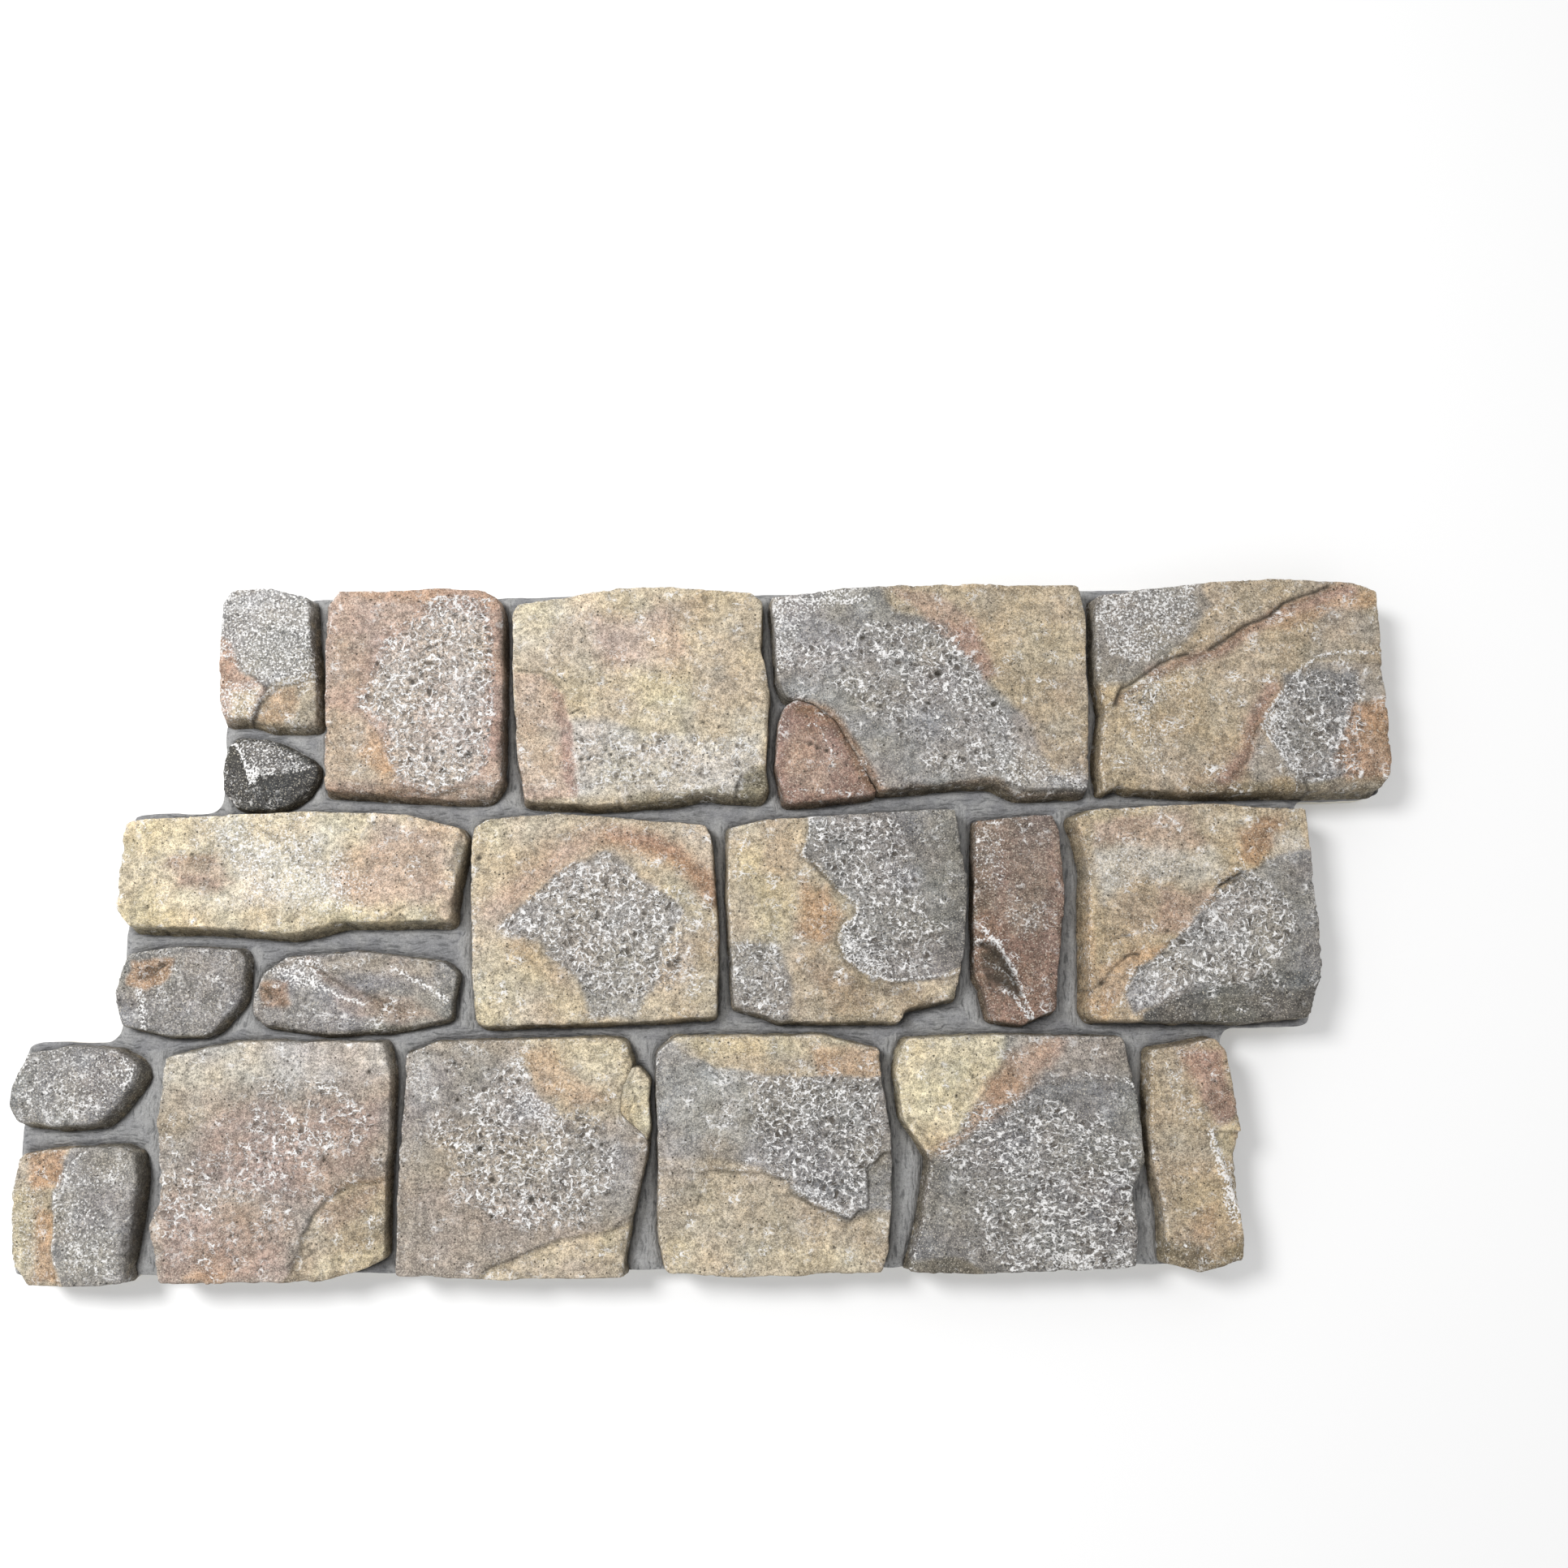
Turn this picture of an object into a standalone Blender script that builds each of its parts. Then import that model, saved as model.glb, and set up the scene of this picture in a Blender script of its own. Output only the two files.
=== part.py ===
"""Moulded faux stone wall panel: three stepped courses of stones standing out of one mortar bed."""

from dataclasses import dataclass

import bmesh
import bpy
from mathutils import Vector

# Driving dimensions, in metres

COURSE_LENGTH = 1.040
COURSE_HEIGHT = 0.200
COURSE_STEP = 0.080
BED_THICKNESS = 0.026
BED_INSET = 0.0036
RELIEF = 0.022
RIM_WIDTH = 0.0045
RIM_DROP = 0.0035
CORNER_CUT = 0.009
TRIM_DEPTH = 0.004
CUT_HEADROOM = 0.012
WELD_DISTANCE = 0.0001

# Share of the rim's width and drop that its middle ring has already taken
RIM_MIDDLE_IN = 0.3
RIM_MIDDLE_DOWN = 0.35

# A corner takes no more than this share of the edges that meet in it
CORNER_SHARE = 0.36

# The widest that a spread corner may reach, as a multiple of the spread
MITRE_LIMIT = 1.35

# A rim or a foot is no wider at a point than this share of the shorter edge there
EDGE_SHARE = 0.8

# Rises, spreads, widths and depths in the tables below are given in this many parts of the relief
RELIEF_PARTS = 22

# Share of a groove's depth that is left at its two ends
GROOVE_END = 0.3

PERCENT = 0.01


@dataclass(frozen=True)
class Ledge:
    """A broken-away area of a face: its outline, its depth and the fall of its floor.

    The outline is in hundredths of the cell's width and height. The depth, in parts of the relief,
    is measured at the first point. The fall is the rise per metre to the right and to the top.
    """

    region: tuple
    depth: float
    slope: tuple = (0.0, 0.0)


@dataclass(frozen=True)
class Groove:
    """A crack in a face: its line in hundredths of the cell, half its width, and its depth."""

    line: tuple
    half_width: float
    depth: float


@dataclass(frozen=True)
class Stone:
    """One stone: the outline of its face, clockwise, in hundredths of its cell, and its relief.

    The rise and the spread of the foot (left, right, low, high) are in parts of the relief. The tilt
    is the rise of the face per metre to the right and to the top. The peak is (u, v, parts).
    """

    name: str
    outline: tuple
    rise: float
    spread: tuple = (3, 3, 4, 1)
    tilt: tuple = (0.0, 0.0)
    peak: tuple = ()
    ledges: tuple = ()
    grooves: tuple = ()


@dataclass(frozen=True)
class Column:
    """The stones of one column of a course, and its width beside the other columns' widths."""

    width: float
    stones: tuple


# Top course

TOP_COURSE = (
    Column(93, (
        Stone(
            "t1", ((3, 93), (12, 99), (48, 100), (85, 95), (89, 75), (93, 63), (95, 38), (55, 38),
                   (28, 42), (10, 41), (3, 47), (2, 61)),
            20, (1, 5, 8, 1), (0.0, 0.01),
            ledges=(
                Ledge(((-8, 77), (2, 76), (25, 65), (41, 57), (48, 54), (57, 57), (71, 59), (93, 62),
                       (112, 63), (112, 28), (-8, 28)), 0.3, (0.02, 0.06)),
                Ledge(((50, 52), (59, 55), (72, 57), (112, 61), (112, 28), (33, 28), (34, 40),
                       (42, 48)), 3.0, (0.02, 0.03)),
            ),
        ),
        Stone(
            "t1_low", ((13, 29), (20, 32), (46, 31.5), (65, 28), (90, 21), (97, 18), (96, 14), (86, 7),
                       (71, 2), (51, 0), (32, 0), (19, 2), (9, 9), (7, 18)),
            11, (1, 2, 3, 3), peak=(40, 14, 8.0),
        ),
    )),
    Column(166, (
        Stone(
            "t2", ((2, 92), (8, 98), (31, 98), (62, 99), (86, 98), (94, 94), (97, 85), (97, 48),
                   (97, 11), (90, 4), (66, 4), (4, 8), (3, 45)),
            21, (3, 3, 6, 1), (0.006, 0.0),
            ledges=(
                Ledge(((4, 11), (46, 10), (60, 5), (77, 9), (90, 10), (110, 10), (110, -10),
                       (-10, -10), (-10, 11)), 0.0, (0.0, 0.5)),
                Ledge(((22, 47), (28, 56), (32, 71), (36, 76), (58, 93), (97, 93), (97, 11),
                       (52, 11), (38, 23), (35, 39)), 1.1, (0.009, 0.0)),
            ),
        ),
    )),
    Column(234, (
        Stone(
            "t3", ((2, 87), (4, 91), (23, 94), (42, 98), (63, 98), (93, 95), (97, 91), (96, 69),
                   (99, 50), (97, 17), (91, 15), (86, 4), (72, 5), (64, 2), (34, 0), (7, 2),
                   (4, 24), (2, 63)),
            21, (2, 2, 6, 1),
            ledges=(
                Ledge(((5, 61), (12, 60), (20, 53), (23, 40), (26, 18), (27, -10), (-10, -10),
                       (-10, 62)), 1.8, (0.0, 0.004)),
                Ledge(((57, 2), (64, 5), (72, 7), (80, 5), (86, 8), (96, 10), (96, -10),
                       (57, -10)), 0.0, (0.0, 0.6)),
            ),
        ),
    )),
    Column(285, (
        Stone(
            "t4", ((1, 93), (24, 97), (64, 98), (97, 97), (99, 82), (97, 9), (96, 3), (76, 2),
                   (68, 8), (57, 8), (33, 5), (27, 19), (20, 37), (14, 44), (5, 48), (2, 56),
                   (2, 73)),
            21, (3, 2, 5, 1), (0.003, 0.0),
            ledges=(
                Ledge(((38, 110), (38, 97), (40, 84), (55, 82), (58, 75), (59, 66), (63, 59),
                       (65, 50), (69, 43), (72, 38), (76, 29), (69, 20), (72, -10), (-10, -10),
                       (-10, 110)), 1.5, (-0.010, 0.0)),
                Ledge(((42, 9), (57, 11), (68, 11), (78, 4), (97, 5), (110, 5), (110, -10),
                       (42, -10)), 0.0, (0.0, 0.5)),
            ),
        ),
        Stone(
            "t4_low", ((4, 39), (8, 41), (15, 40), (20, 35), (27, 17), (31, 4), (17, 1), (4, 0),
                       (1, 17), (2, 32)),
            17, (2, 0, 4, 0), (-0.02, 0.01),
        ),
    )),
    Column(262, (
        Stone(
            "t5", ((3, 92), (17, 94), (39, 97), (61, 99), (90, 97), (99, 93), (98.5, 55), (99.5, 18),
                   (98, 9), (94, 3), (40, 2), (12, 4), (8, 7), (2, 3), (1, 17), (4, 38), (2, 60)),
            21, (3, 1, 5, 1),
            ledges=(
                Ledge(((-10, 36), (7, 42), (10, 49), (15, 53), (23, 61), (33, 64), (43, 68), (55, 78),
                       (67, 87), (83, 94), (96, 99), (100, 110), (-10, 110)), 1.0, (0.004, 0.006)),
                Ledge(((57, 32), (61, 23), (67, 13), (68, -10), (110, -10), (110, 64), (80, 64),
                       (71, 58), (66, 50), (59, 38)), 2.0, (0.019, 0.0)),
            ),
            grooves=(
                Groove(((43, 69), (55, 79), (62, 82), (67, 88), (83, 95)), 1.6, 2.4),
            ),
        ),
    )),
)

# Middle course

MIDDLE_COURSE = (
    Column(307, (
        Stone(
            "m1", ((2, 89), (3, 94), (9, 96), (56, 98), (82, 96), (97, 90), (99, 85), (96, 65),
                   (95, 50), (64, 50), (51, 45), (28, 48), (5, 49), (1, 57), (2, 81)),
            22, (1, 3, 8, 2), (0.0, 0.008),
        ),
        Stone(
            "m2", ((4, 37), (18, 40), (35, 38), (37, 35), (37, 18), (30, 5), (26, 2), (17, 2),
                   (4, 7), (3, 10), (1, 20)),
            17, (1, 3, 3, 2), (0.0, 0.02),
        ),
        Stone(
            "m3", ((40, 19), (42, 28), (49, 35), (69, 37), (93, 32), (97, 27), (95, 8), (77, 3),
                   (61, 2), (44, 6), (40, 11)),
            14, (3, 2, 4, 2), (0.0, 0.01),
            grooves=(
                Groove(((56, 32), (60, 26), (66, 22), (76, 15), (87, 9)), 3.5, 2.0),
            ),
        ),
    )),
    Column(221, (
        Stone(
            "m4", ((2, 90), (7, 94), (36, 96), (84, 91), (93, 90), (95, 85), (97, 50), (97, 20),
                   (96, 8), (64, 6), (8, 5), (4, 7), (2, 30), (1, 69)),
            21, (1, 2, 5, 2),
            ledges=(
                Ledge(((11, 47), (39, 72), (52, 80), (62, 71), (84, 54), (86, 42), (82, 15),
                       (47, 9), (45, 19), (39, 27), (23, 43)), 0.9),
            ),
        ),
    )),
    Column(214, (
        Stone(
            "m5", ((3, 89), (17, 92), (83, 96), (95, 96), (96, 79), (99, 66), (96, 35), (92, 14),
                   (73, 10), (70, 5), (23, 5), (4, 12), (2, 60)),
            22, (3, 2, 4, 2), (0.005, 0.005),
            ledges=(
                Ledge(((35, 86), (32, 76), (38, 71), (42, 66), (46, 61), (53, 55), (53, 50),
                       (48, 47), (45, 39), (49, 31), (58, 24), (67, 21), (81, 23), (110, 27),
                       (110, -10), (-10, -10), (-10, 110), (36, 110)), 2.3, (0.0, 0.004)),
            ),
        ),
    )),
    Column(87, (
        Stone(
            "m6", ((9, 91), (85, 93), (90, 87), (94, 59), (82, 24), (79, 9), (53, 5), (47, 3),
                   (15, 5), (9, 19), (3, 23), (6, 66)),
            21, (2, 3, 3, 2),
            ledges=(
                Ledge(((40, 110), (38, 60), (35, 40), (21, 38), (-14, 38), (-14, 110)), 0.0,
                      (0.13, 0.0)),
                Ledge(((21, 38), (32, 31), (39, 24), (47, 16), (53, 7), (55, -10), (-14, -10),
                       (-14, 38)), 4.0, (0.06, 0.0)),
            ),
        ),
    )),
    Column(211, (
        Stone(
            "m7", ((3, 91), (12, 95), (62, 97), (98, 94), (99, 75), (100, 33), (100, 24), (93, 5),
                   (69, 3), (8, 4), (5, 8), (8, 69), (6, 83)),
            22, (6, 1, 3, 2),
            ledges=(
                Ledge(((71, 66), (62, 62), (53, 49), (45, 40), (38, 37), (24, 24), (21, 19),
                       (16, 6), (30, 7), (39, 13), (56, 18), (72, 21), (77, 25), (93, 45),
                       (85, 57)), 1.3),
                Ledge(((30, 4), (39, 12), (56, 17), (72, 20), (77, 24), (110, 23), (110, -10),
                       (30, -10)), 0.4, (0.0, 0.24)),
            ),
        ),
    )),
)

# Bottom course

BOTTOM_COURSE = (
    Column(120, (
        Stone(
            "b1", ((2, 81), (11, 95), (39, 98), (73, 96), (88, 91), (92, 86), (75, 72), (63, 66),
                   (36, 65), (8, 67), (1, 74)),
            20, (1, 4, 7, 1), (0.0, -0.01),
        ),
        Stone(
            "b1_low", ((10, 53), (32, 55), (80, 56), (91, 53), (95, 44), (91, 18), (87, 7), (88, 1),
                       (21, 0), (9, 9), (6, 38)),
            21, (2, 3, 1, 1), (0.01, 0.0),
            ledges=(
                Ledge(((49, 50), (38, 44), (36, 37), (37, 22), (37, 15), (47, -10), (-14, -10),
                       (-14, 64), (60, 64), (60, 57)), 2.0, (0.07, 0.0)),
            ),
        ),
    )),
    Column(208, (
        Stone(
            "b2", ((6, 93), (34, 99), (95, 98), (98, 83), (97, 43), (97, 10), (87, 5), (71, 1),
                   (8, 1), (3, 24), (7, 34), (4, 67)),
            22, (2, 2, 1, 2), (0.0, -0.006),
            ledges=(
                Ledge(((97, 42), (82, 40), (74, 35), (67, 27), (64, 19), (64, 12), (60, 7),
                       (54, -10), (110, -10), (110, 42)), 1.8),
            ),
        ),
    )),
    Column(218, (
        Stone(
            "b3", ((4, 93), (16, 98), (83, 99), (89, 98), (92, 88), (87, 75), (87, 67), (97, 57),
                   (97, 51), (91, 25), (88, 6), (89, 1), (46, 1), (2, 3), (2, 14), (2, 46),
                   (4, 83)),
            21, (3, 3, 1, 2),
            ledges=(
                Ledge(((33, 1), (37, 6), (46, 9), (55, 13), (64, 17), (83, 20), (92, 24), (110, 24),
                       (110, -10), (33, -10)), 1.8),
            ),
        ),
        Stone(
            "b3_chip", ((93, 84), (97, 86), (99, 82), (99, 60), (91, 62), (88.5, 68), (89.5, 76)),
            17, (0, 1, 2, 2),
        ),
    )),
    Column(203, (
        Stone(
            "b4", ((2, 92), (10, 99), (70, 99), (95, 93), (95, 81), (98, 60), (98, 34), (96, 10),
                   (93, 2), (31, 1), (5, 3), (2, 19), (2, 65)),
            22, (2, 2, 1, 2), (0.004, 0.0),
            ledges=(
                Ledge(((2, 45), (46, 43), (57, 40), (57, 35), (66, 29), (75, 26), (81, 24), (84, 27),
                       (88, 28), (88, 44), (96, 51), (110, 51), (110, -10), (-10, -10),
                       (-10, 45)), 0.4, (-0.014, 0.0)),
            ),
        ),
    )),
    Column(214, (
        Stone(
            "b5", ((4, 92), (6, 97), (44, 98), (92, 97), (96, 73), (98, 45), (92, 35), (93, 18),
                   (92, 3), (42, 1), (4, 2), (10, 22), (14, 47), (4, 64), (2, 83)),
            21, (3, 3, 1, 2), (0.004, 0.0),
            ledges=(
                Ledge(((14, 52), (29, 59), (32, 65), (46, 71), (59, 80), (77, 81), (96, 78),
                       (110, 78), (110, 110), (-10, 110), (-10, 52)), 1.1, (-0.003, 0.0)),
            ),
        ),
    )),
    Column(77, (
        Stone(
            "b6", ((9, 91), (55, 94), (80, 96), (92, 90), (100, 59), (99, 51), (92, 47), (96, 13),
                   (93, 5), (47, 1), (12, 4), (13, 21), (4, 46), (5, 73)),
            20, (2, 1, 1, 2), (0.0, 0.004),
            ledges=(
                Ledge(((69, 57), (97, 20), (100, -10), (130, -10), (130, 57)), 0.0, (-0.3, 0.0)),
            ),
        ),
    )),
)

COURSES = (BOTTOM_COURSE, MIDDLE_COURSE, TOP_COURSE)

# Finish

STONE_TAUPE = (0.30, 0.26, 0.21, 1.0)
STONE_ROUGHNESS = 0.85
STONE_METALLIC = 0.0


def clear_scene():
    """Remove every object that the file opens with."""
    for item in list(bpy.data.objects):
        bpy.data.objects.remove(item, do_unlink=True)


def new_collection(name):
    """Return a new collection of the scene."""
    group = bpy.data.collections.new(name)
    bpy.context.scene.collection.children.link(group)
    return group


def course_cells():
    """Yield each stone with its cell: left, low, width and height, about the panel's centre."""
    rows = len(COURSES)
    half_length = (COURSE_LENGTH + (rows - 1) * COURSE_STEP) / 2
    half_height = rows * COURSE_HEIGHT / 2
    for row, course in enumerate(COURSES):
        left = row * COURSE_STEP - half_length
        whole = sum(column.width for column in course)
        for column in course:
            width = COURSE_LENGTH * column.width / whole
            for stone in column.stones:
                yield stone, (left, row * COURSE_HEIGHT - half_height, width, COURSE_HEIGHT)
            left += width


def relief(parts):
    """Return the length of some parts of the relief."""
    return RELIEF * parts / RELIEF_PARTS


def in_cell(cell, point):
    """Return the plan position of a point given in hundredths of a cell."""
    left, low, width, height = cell
    return Vector((left + width * point[0] * PERCENT, low + height * point[1] * PERCENT))


def rounded(corners):
    """Return the outline with each corner cut to two points."""
    points = []
    for index, corner in enumerate(corners):
        for other in (corners[index - 1], corners[(index + 1) % len(corners)]):
            run = other - corner
            points.append(corner + run.normalized() * min(CORNER_CUT, run.length * CORNER_SHARE))
    return points


def outward(points):
    """Return the outward direction and the room at each point of a clockwise outline."""
    ways = []
    for index, point in enumerate(points):
        before = point - points[index - 1]
        after = points[(index + 1) % len(points)] - point
        room = min(before.length, after.length) * EDGE_SHARE
        normal = before.normalized() + after.normalized()
        mitre = min(MITRE_LIMIT, 2 / max(normal.length, 1.0))
        ways.append((Vector((-normal.y, normal.x)).normalized() * mitre, room))
    return ways


def face_height(stone, cell, point):
    """Return the height of a stone's face over a plan position, with the face's tilt."""
    centre = in_cell(cell, (50, 50))
    slant = stone.tilt[0] * (point.x - centre.x) + stone.tilt[1] * (point.y - centre.y)
    return BED_THICKNESS + relief(stone.rise) + slant


def stone_rings(stone, cell):
    """Return the rings of a stone's body, from below the back up to the rim of its face."""
    face = rounded([in_cell(cell, corner) for corner in stone.outline])
    left, right, low, high = (relief(value) for value in stone.spread)
    rings = [[], [], [], [], []]
    for point, (way, room) in zip(face, outward(face)):
        side = min(right if way.x > 0 else left, room)
        end = min(high if way.y > 0 else low, room)
        foot = point + Vector((way.x * side, way.y * end))
        top = face_height(stone, cell, point)
        rim = min(RIM_WIDTH, room)
        middle = point - way * rim * RIM_MIDDLE_IN
        inner = point - way * rim
        rings[0].append((foot.x, foot.y, -TRIM_DEPTH))
        rings[1].append((foot.x, foot.y, BED_THICKNESS))
        rings[2].append((point.x, point.y, top - RIM_DROP))
        rings[3].append((middle.x, middle.y, top - RIM_DROP * RIM_MIDDLE_DOWN))
        rings[4].append((inner.x, inner.y, top))
    return rings


def loft(name, rings, peak=None):
    """Return a closed mesh bridged from ring to ring, its last face drawn up to a peak if given."""
    shape = bmesh.new()
    loops = []
    for ring in rings:
        corners = [shape.verts.new(point) for point in ring]
        loops.append([shape.edges.new((corners[i - 1], corner)) for i, corner in enumerate(corners)])
    for lower, upper in zip(loops, loops[1:]):
        bmesh.ops.bridge_loops(shape, edges=lower + upper)
    bmesh.ops.contextual_create(shape, geom=loops[0])
    lid = bmesh.ops.contextual_create(shape, geom=loops[-1])["faces"]
    if peak:
        tip = bmesh.ops.poke(shape, faces=lid)["verts"][0]
        tip.co = peak
    bmesh.ops.triangulate(shape, faces=shape.faces)
    bmesh.ops.recalc_face_normals(shape, faces=shape.faces)
    mesh = bpy.data.meshes.new(name)
    shape.to_mesh(mesh)
    shape.free()
    return mesh


def ledge_mesh(name, ledge, stone, cell):
    """Return the solid that is broken out of a stone above the floor of a ledge."""
    plan = [in_cell(cell, point) for point in ledge.region]
    start = plan[0]
    level = face_height(stone, cell, start) - relief(ledge.depth)
    ceiling = BED_THICKNESS + relief(stone.rise) + CUT_HEADROOM
    floor = []
    for point in plan:
        fall = ledge.slope[0] * (point.x - start.x) + ledge.slope[1] * (point.y - start.y)
        floor.append((point.x, point.y, level + fall))
    return loft(name, (floor, [(point.x, point.y, ceiling) for point in plan]))


def groove_mesh(name, groove, stone, cell):
    """Return the wedge that is cut out of a stone along a crack, shallow at both ends."""
    plan = [in_cell(cell, point) for point in groove.line]
    last = len(plan) - 1
    rings = []
    for index, point in enumerate(plan):
        run = plan[min(index + 1, last)] - plan[max(index - 1, 0)]
        share = GROOVE_END if index in (0, last) else 1.0
        depth = relief(groove.depth) * share
        opening = (depth + CUT_HEADROOM) / relief(groove.depth) * relief(groove.half_width)
        side = Vector((-run.y, run.x)).normalized() * opening
        face = face_height(stone, cell, point)
        ring = [(point.x, point.y, face - depth)]
        for edge in (point + side, point - side):
            ring.append((edge.x, edge.y, face + CUT_HEADROOM))
        rings.append(ring)
    return loft(name, rings)


def bed_mesh(name):
    """Return the stepped mortar bed: one outline round the courses, drawn up to its thickness."""
    rows = len(COURSES)
    half_length = (COURSE_LENGTH + (rows - 1) * COURSE_STEP) / 2
    half_height = rows * COURSE_HEIGHT / 2
    left_side, right_side = [], []
    for row in range(rows):
        left = row * COURSE_STEP - half_length + BED_INSET
        right = row * COURSE_STEP - half_length + COURSE_LENGTH - BED_INSET
        low = row * COURSE_HEIGHT - half_height
        high = low + COURSE_HEIGHT
        # A step in the ends falls on the joint line, and the outer edges stand back by the inset
        low_edge = low + (BED_INSET if row == 0 else 0)
        high_edge = high - (BED_INSET if row == rows - 1 else 0)
        left_side += [(left, low_edge), (left, high_edge)]
        right_side += [(right, low_edge), (right, high_edge)]
    plan = left_side + right_side[::-1]
    rings = [[(x, y, level) for x, y in plan] for level in (-TRIM_DEPTH, BED_THICKNESS)]
    return loft(name, rings)


def stone_material():
    """Return the painted finish of the panel."""
    finish = bpy.data.materials.new("painted_foam")
    finish.use_nodes = True
    shader = finish.node_tree.nodes["Principled BSDF"]
    shader.inputs["Base Color"].default_value = STONE_TAUPE
    shader.inputs["Roughness"].default_value = STONE_ROUGHNESS
    shader.inputs["Metallic"].default_value = STONE_METALLIC
    finish.diffuse_color = STONE_TAUPE
    return finish


def add_object(name, mesh, group):
    """Return an object of a mesh, linked to a collection."""
    item = bpy.data.objects.new(name, mesh)
    group.objects.link(item)
    return item


def add_boolean(item, operation, tool):
    """Give an object an exact Boolean with another object or with a whole collection."""
    change = item.modifiers.new(operation.lower(), 'BOOLEAN')
    change.operation = operation
    change.solver = 'EXACT'
    if isinstance(tool, bpy.types.Collection):
        change.operand_type = 'COLLECTION'
        change.collection = tool
    else:
        change.object = tool


def add_weld(item):
    """Merge the slivers that a cut leaves."""
    weld = item.modifiers.new("weld", 'WELD')
    weld.merge_threshold = WELD_DISTANCE


def as_tool(item):
    """Show an object as a wire and keep it out of renders."""
    item.display_type = 'WIRE'
    item.hide_render = True


def add_stone(stone, cell, stones, cutters):
    """Add one stone, with a Boolean for each ledge and groove of its face."""
    peak = None
    if stone.peak:
        spot = in_cell(cell, stone.peak[:2])
        peak = (spot.x, spot.y, face_height(stone, cell, spot) + relief(stone.peak[2]))
    body = add_object(stone.name, loft(stone.name, stone_rings(stone, cell), peak), stones)
    as_tool(body)
    cuts = [(f"{stone.name}_ledge_{number}", ledge_mesh, cut) for number, cut in enumerate(stone.ledges)]
    cuts += [(f"{stone.name}_groove_{number}", groove_mesh, cut) for number, cut in enumerate(stone.grooves)]
    for name, shape, cut in cuts:
        cutter = add_object(name, shape(name, cut, stone, cell), cutters)
        as_tool(cutter)
        add_boolean(body, 'DIFFERENCE', cutter)
        add_weld(body)


def back_mesh(name):
    """Return the slab below the back plane that takes the blanks off flush."""
    reach = COURSE_LENGTH + COURSE_STEP * len(COURSES)
    plan = ((-reach, -reach), (-reach, reach), (reach, reach), (reach, -reach))
    return loft(name, [[(x, y, level) for x, y in plan] for level in (-3 * TRIM_DEPTH, 0.0)])


def main():
    """Build the panel: bed, stones, ledges, grooves and the flat back."""
    clear_scene()
    part = new_collection("faux_stone_wall_panel")
    stones = new_collection("stone_blanks")
    cutters = new_collection("cutters")
    for stone, cell in course_cells():
        add_stone(stone, cell, stones, cutters)
    panel = add_object("stone_panel", bed_mesh("stone_panel"), part)
    panel.data.materials.append(stone_material())
    add_boolean(panel, 'UNION', stones)
    back = add_object("back_plane", back_mesh("back_plane"), cutters)
    as_tool(back)
    add_boolean(panel, 'DIFFERENCE', back)
    add_weld(panel)


main()
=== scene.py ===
"""Looks of the faux stone wall panel: painted stones in a trowelled mortar bed, on a pale studio floor.

The panel is one moulding. Its stones and its bed are separate meshes here only to keep each mesh small.
"""

from __future__ import annotations

import logging
import math
from collections.abc import Iterable
from dataclasses import dataclass
from enum import Enum
from itertools import product

import bpy
import numpy as np
from mathutils import Matrix, Vector


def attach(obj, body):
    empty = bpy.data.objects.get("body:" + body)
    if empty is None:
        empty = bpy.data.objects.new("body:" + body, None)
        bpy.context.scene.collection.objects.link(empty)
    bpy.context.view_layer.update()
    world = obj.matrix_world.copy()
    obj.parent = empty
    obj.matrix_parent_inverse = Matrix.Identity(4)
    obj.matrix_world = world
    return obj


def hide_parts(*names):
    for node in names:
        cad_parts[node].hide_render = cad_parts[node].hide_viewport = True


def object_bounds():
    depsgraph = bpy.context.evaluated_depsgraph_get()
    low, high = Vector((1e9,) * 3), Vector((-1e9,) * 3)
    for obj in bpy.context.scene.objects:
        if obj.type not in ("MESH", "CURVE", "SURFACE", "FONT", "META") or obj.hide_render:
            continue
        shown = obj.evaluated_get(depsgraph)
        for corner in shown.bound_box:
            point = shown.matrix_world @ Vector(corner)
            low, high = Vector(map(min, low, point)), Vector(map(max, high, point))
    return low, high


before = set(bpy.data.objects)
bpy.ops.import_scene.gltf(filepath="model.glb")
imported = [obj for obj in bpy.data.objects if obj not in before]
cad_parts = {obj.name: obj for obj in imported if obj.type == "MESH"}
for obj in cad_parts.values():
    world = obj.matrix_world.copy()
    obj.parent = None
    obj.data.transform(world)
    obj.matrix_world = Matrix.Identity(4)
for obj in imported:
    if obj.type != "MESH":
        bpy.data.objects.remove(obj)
CAD_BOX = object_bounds()

log = logging.getLogger("panel")

Colour = tuple[float, float, float, float]

MM = 0.001
COURSE_LENGTH = 1.040
COURSE_HEIGHT = 0.200
COURSE_STEP = 0.080
BED_THICKNESS = 0.026
BED_INSET = 0.0036
STONE_NET = 1.6 * MM
BED_NET = 2.0 * MM
CORNER_CUT = 3.0 * MM
OUTLINE_STEP = 2.0 * MM
FOOT_DEPTH = 6.0 * MM
SPARE_DEPTH = 2.0 * MM
BOX_MARGIN = 1e-4
FIRST_SEED = 1000
SEED_STEP = 101
WORD = 0xFFFFFFFF


# Noise and distances


def hashed(cells: np.ndarray, seed: int) -> np.ndarray:
    """Give each lattice cell a fixed value that looks random.

    Args:
        cells: whole-number lattice cells, one row each.
        seed: picks one of many patterns.

    Returns:
        One value from 0 to 1 for each row.
    """
    mixed = np.full(len(cells), (seed * 2654435761) & WORD, dtype=np.uint64)
    for column in range(cells.shape[1]):
        mixed ^= cells[:, column].astype(np.int64).astype(np.uint64) & np.uint64(WORD)
        for factor, shift in ((0x9E3779B1, 15), (0x85EBCA77, 13)):
            mixed = (mixed * np.uint64(factor)) & np.uint64(WORD)
            mixed ^= mixed >> np.uint64(shift)
    return mixed.astype(np.float64) / WORD


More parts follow.
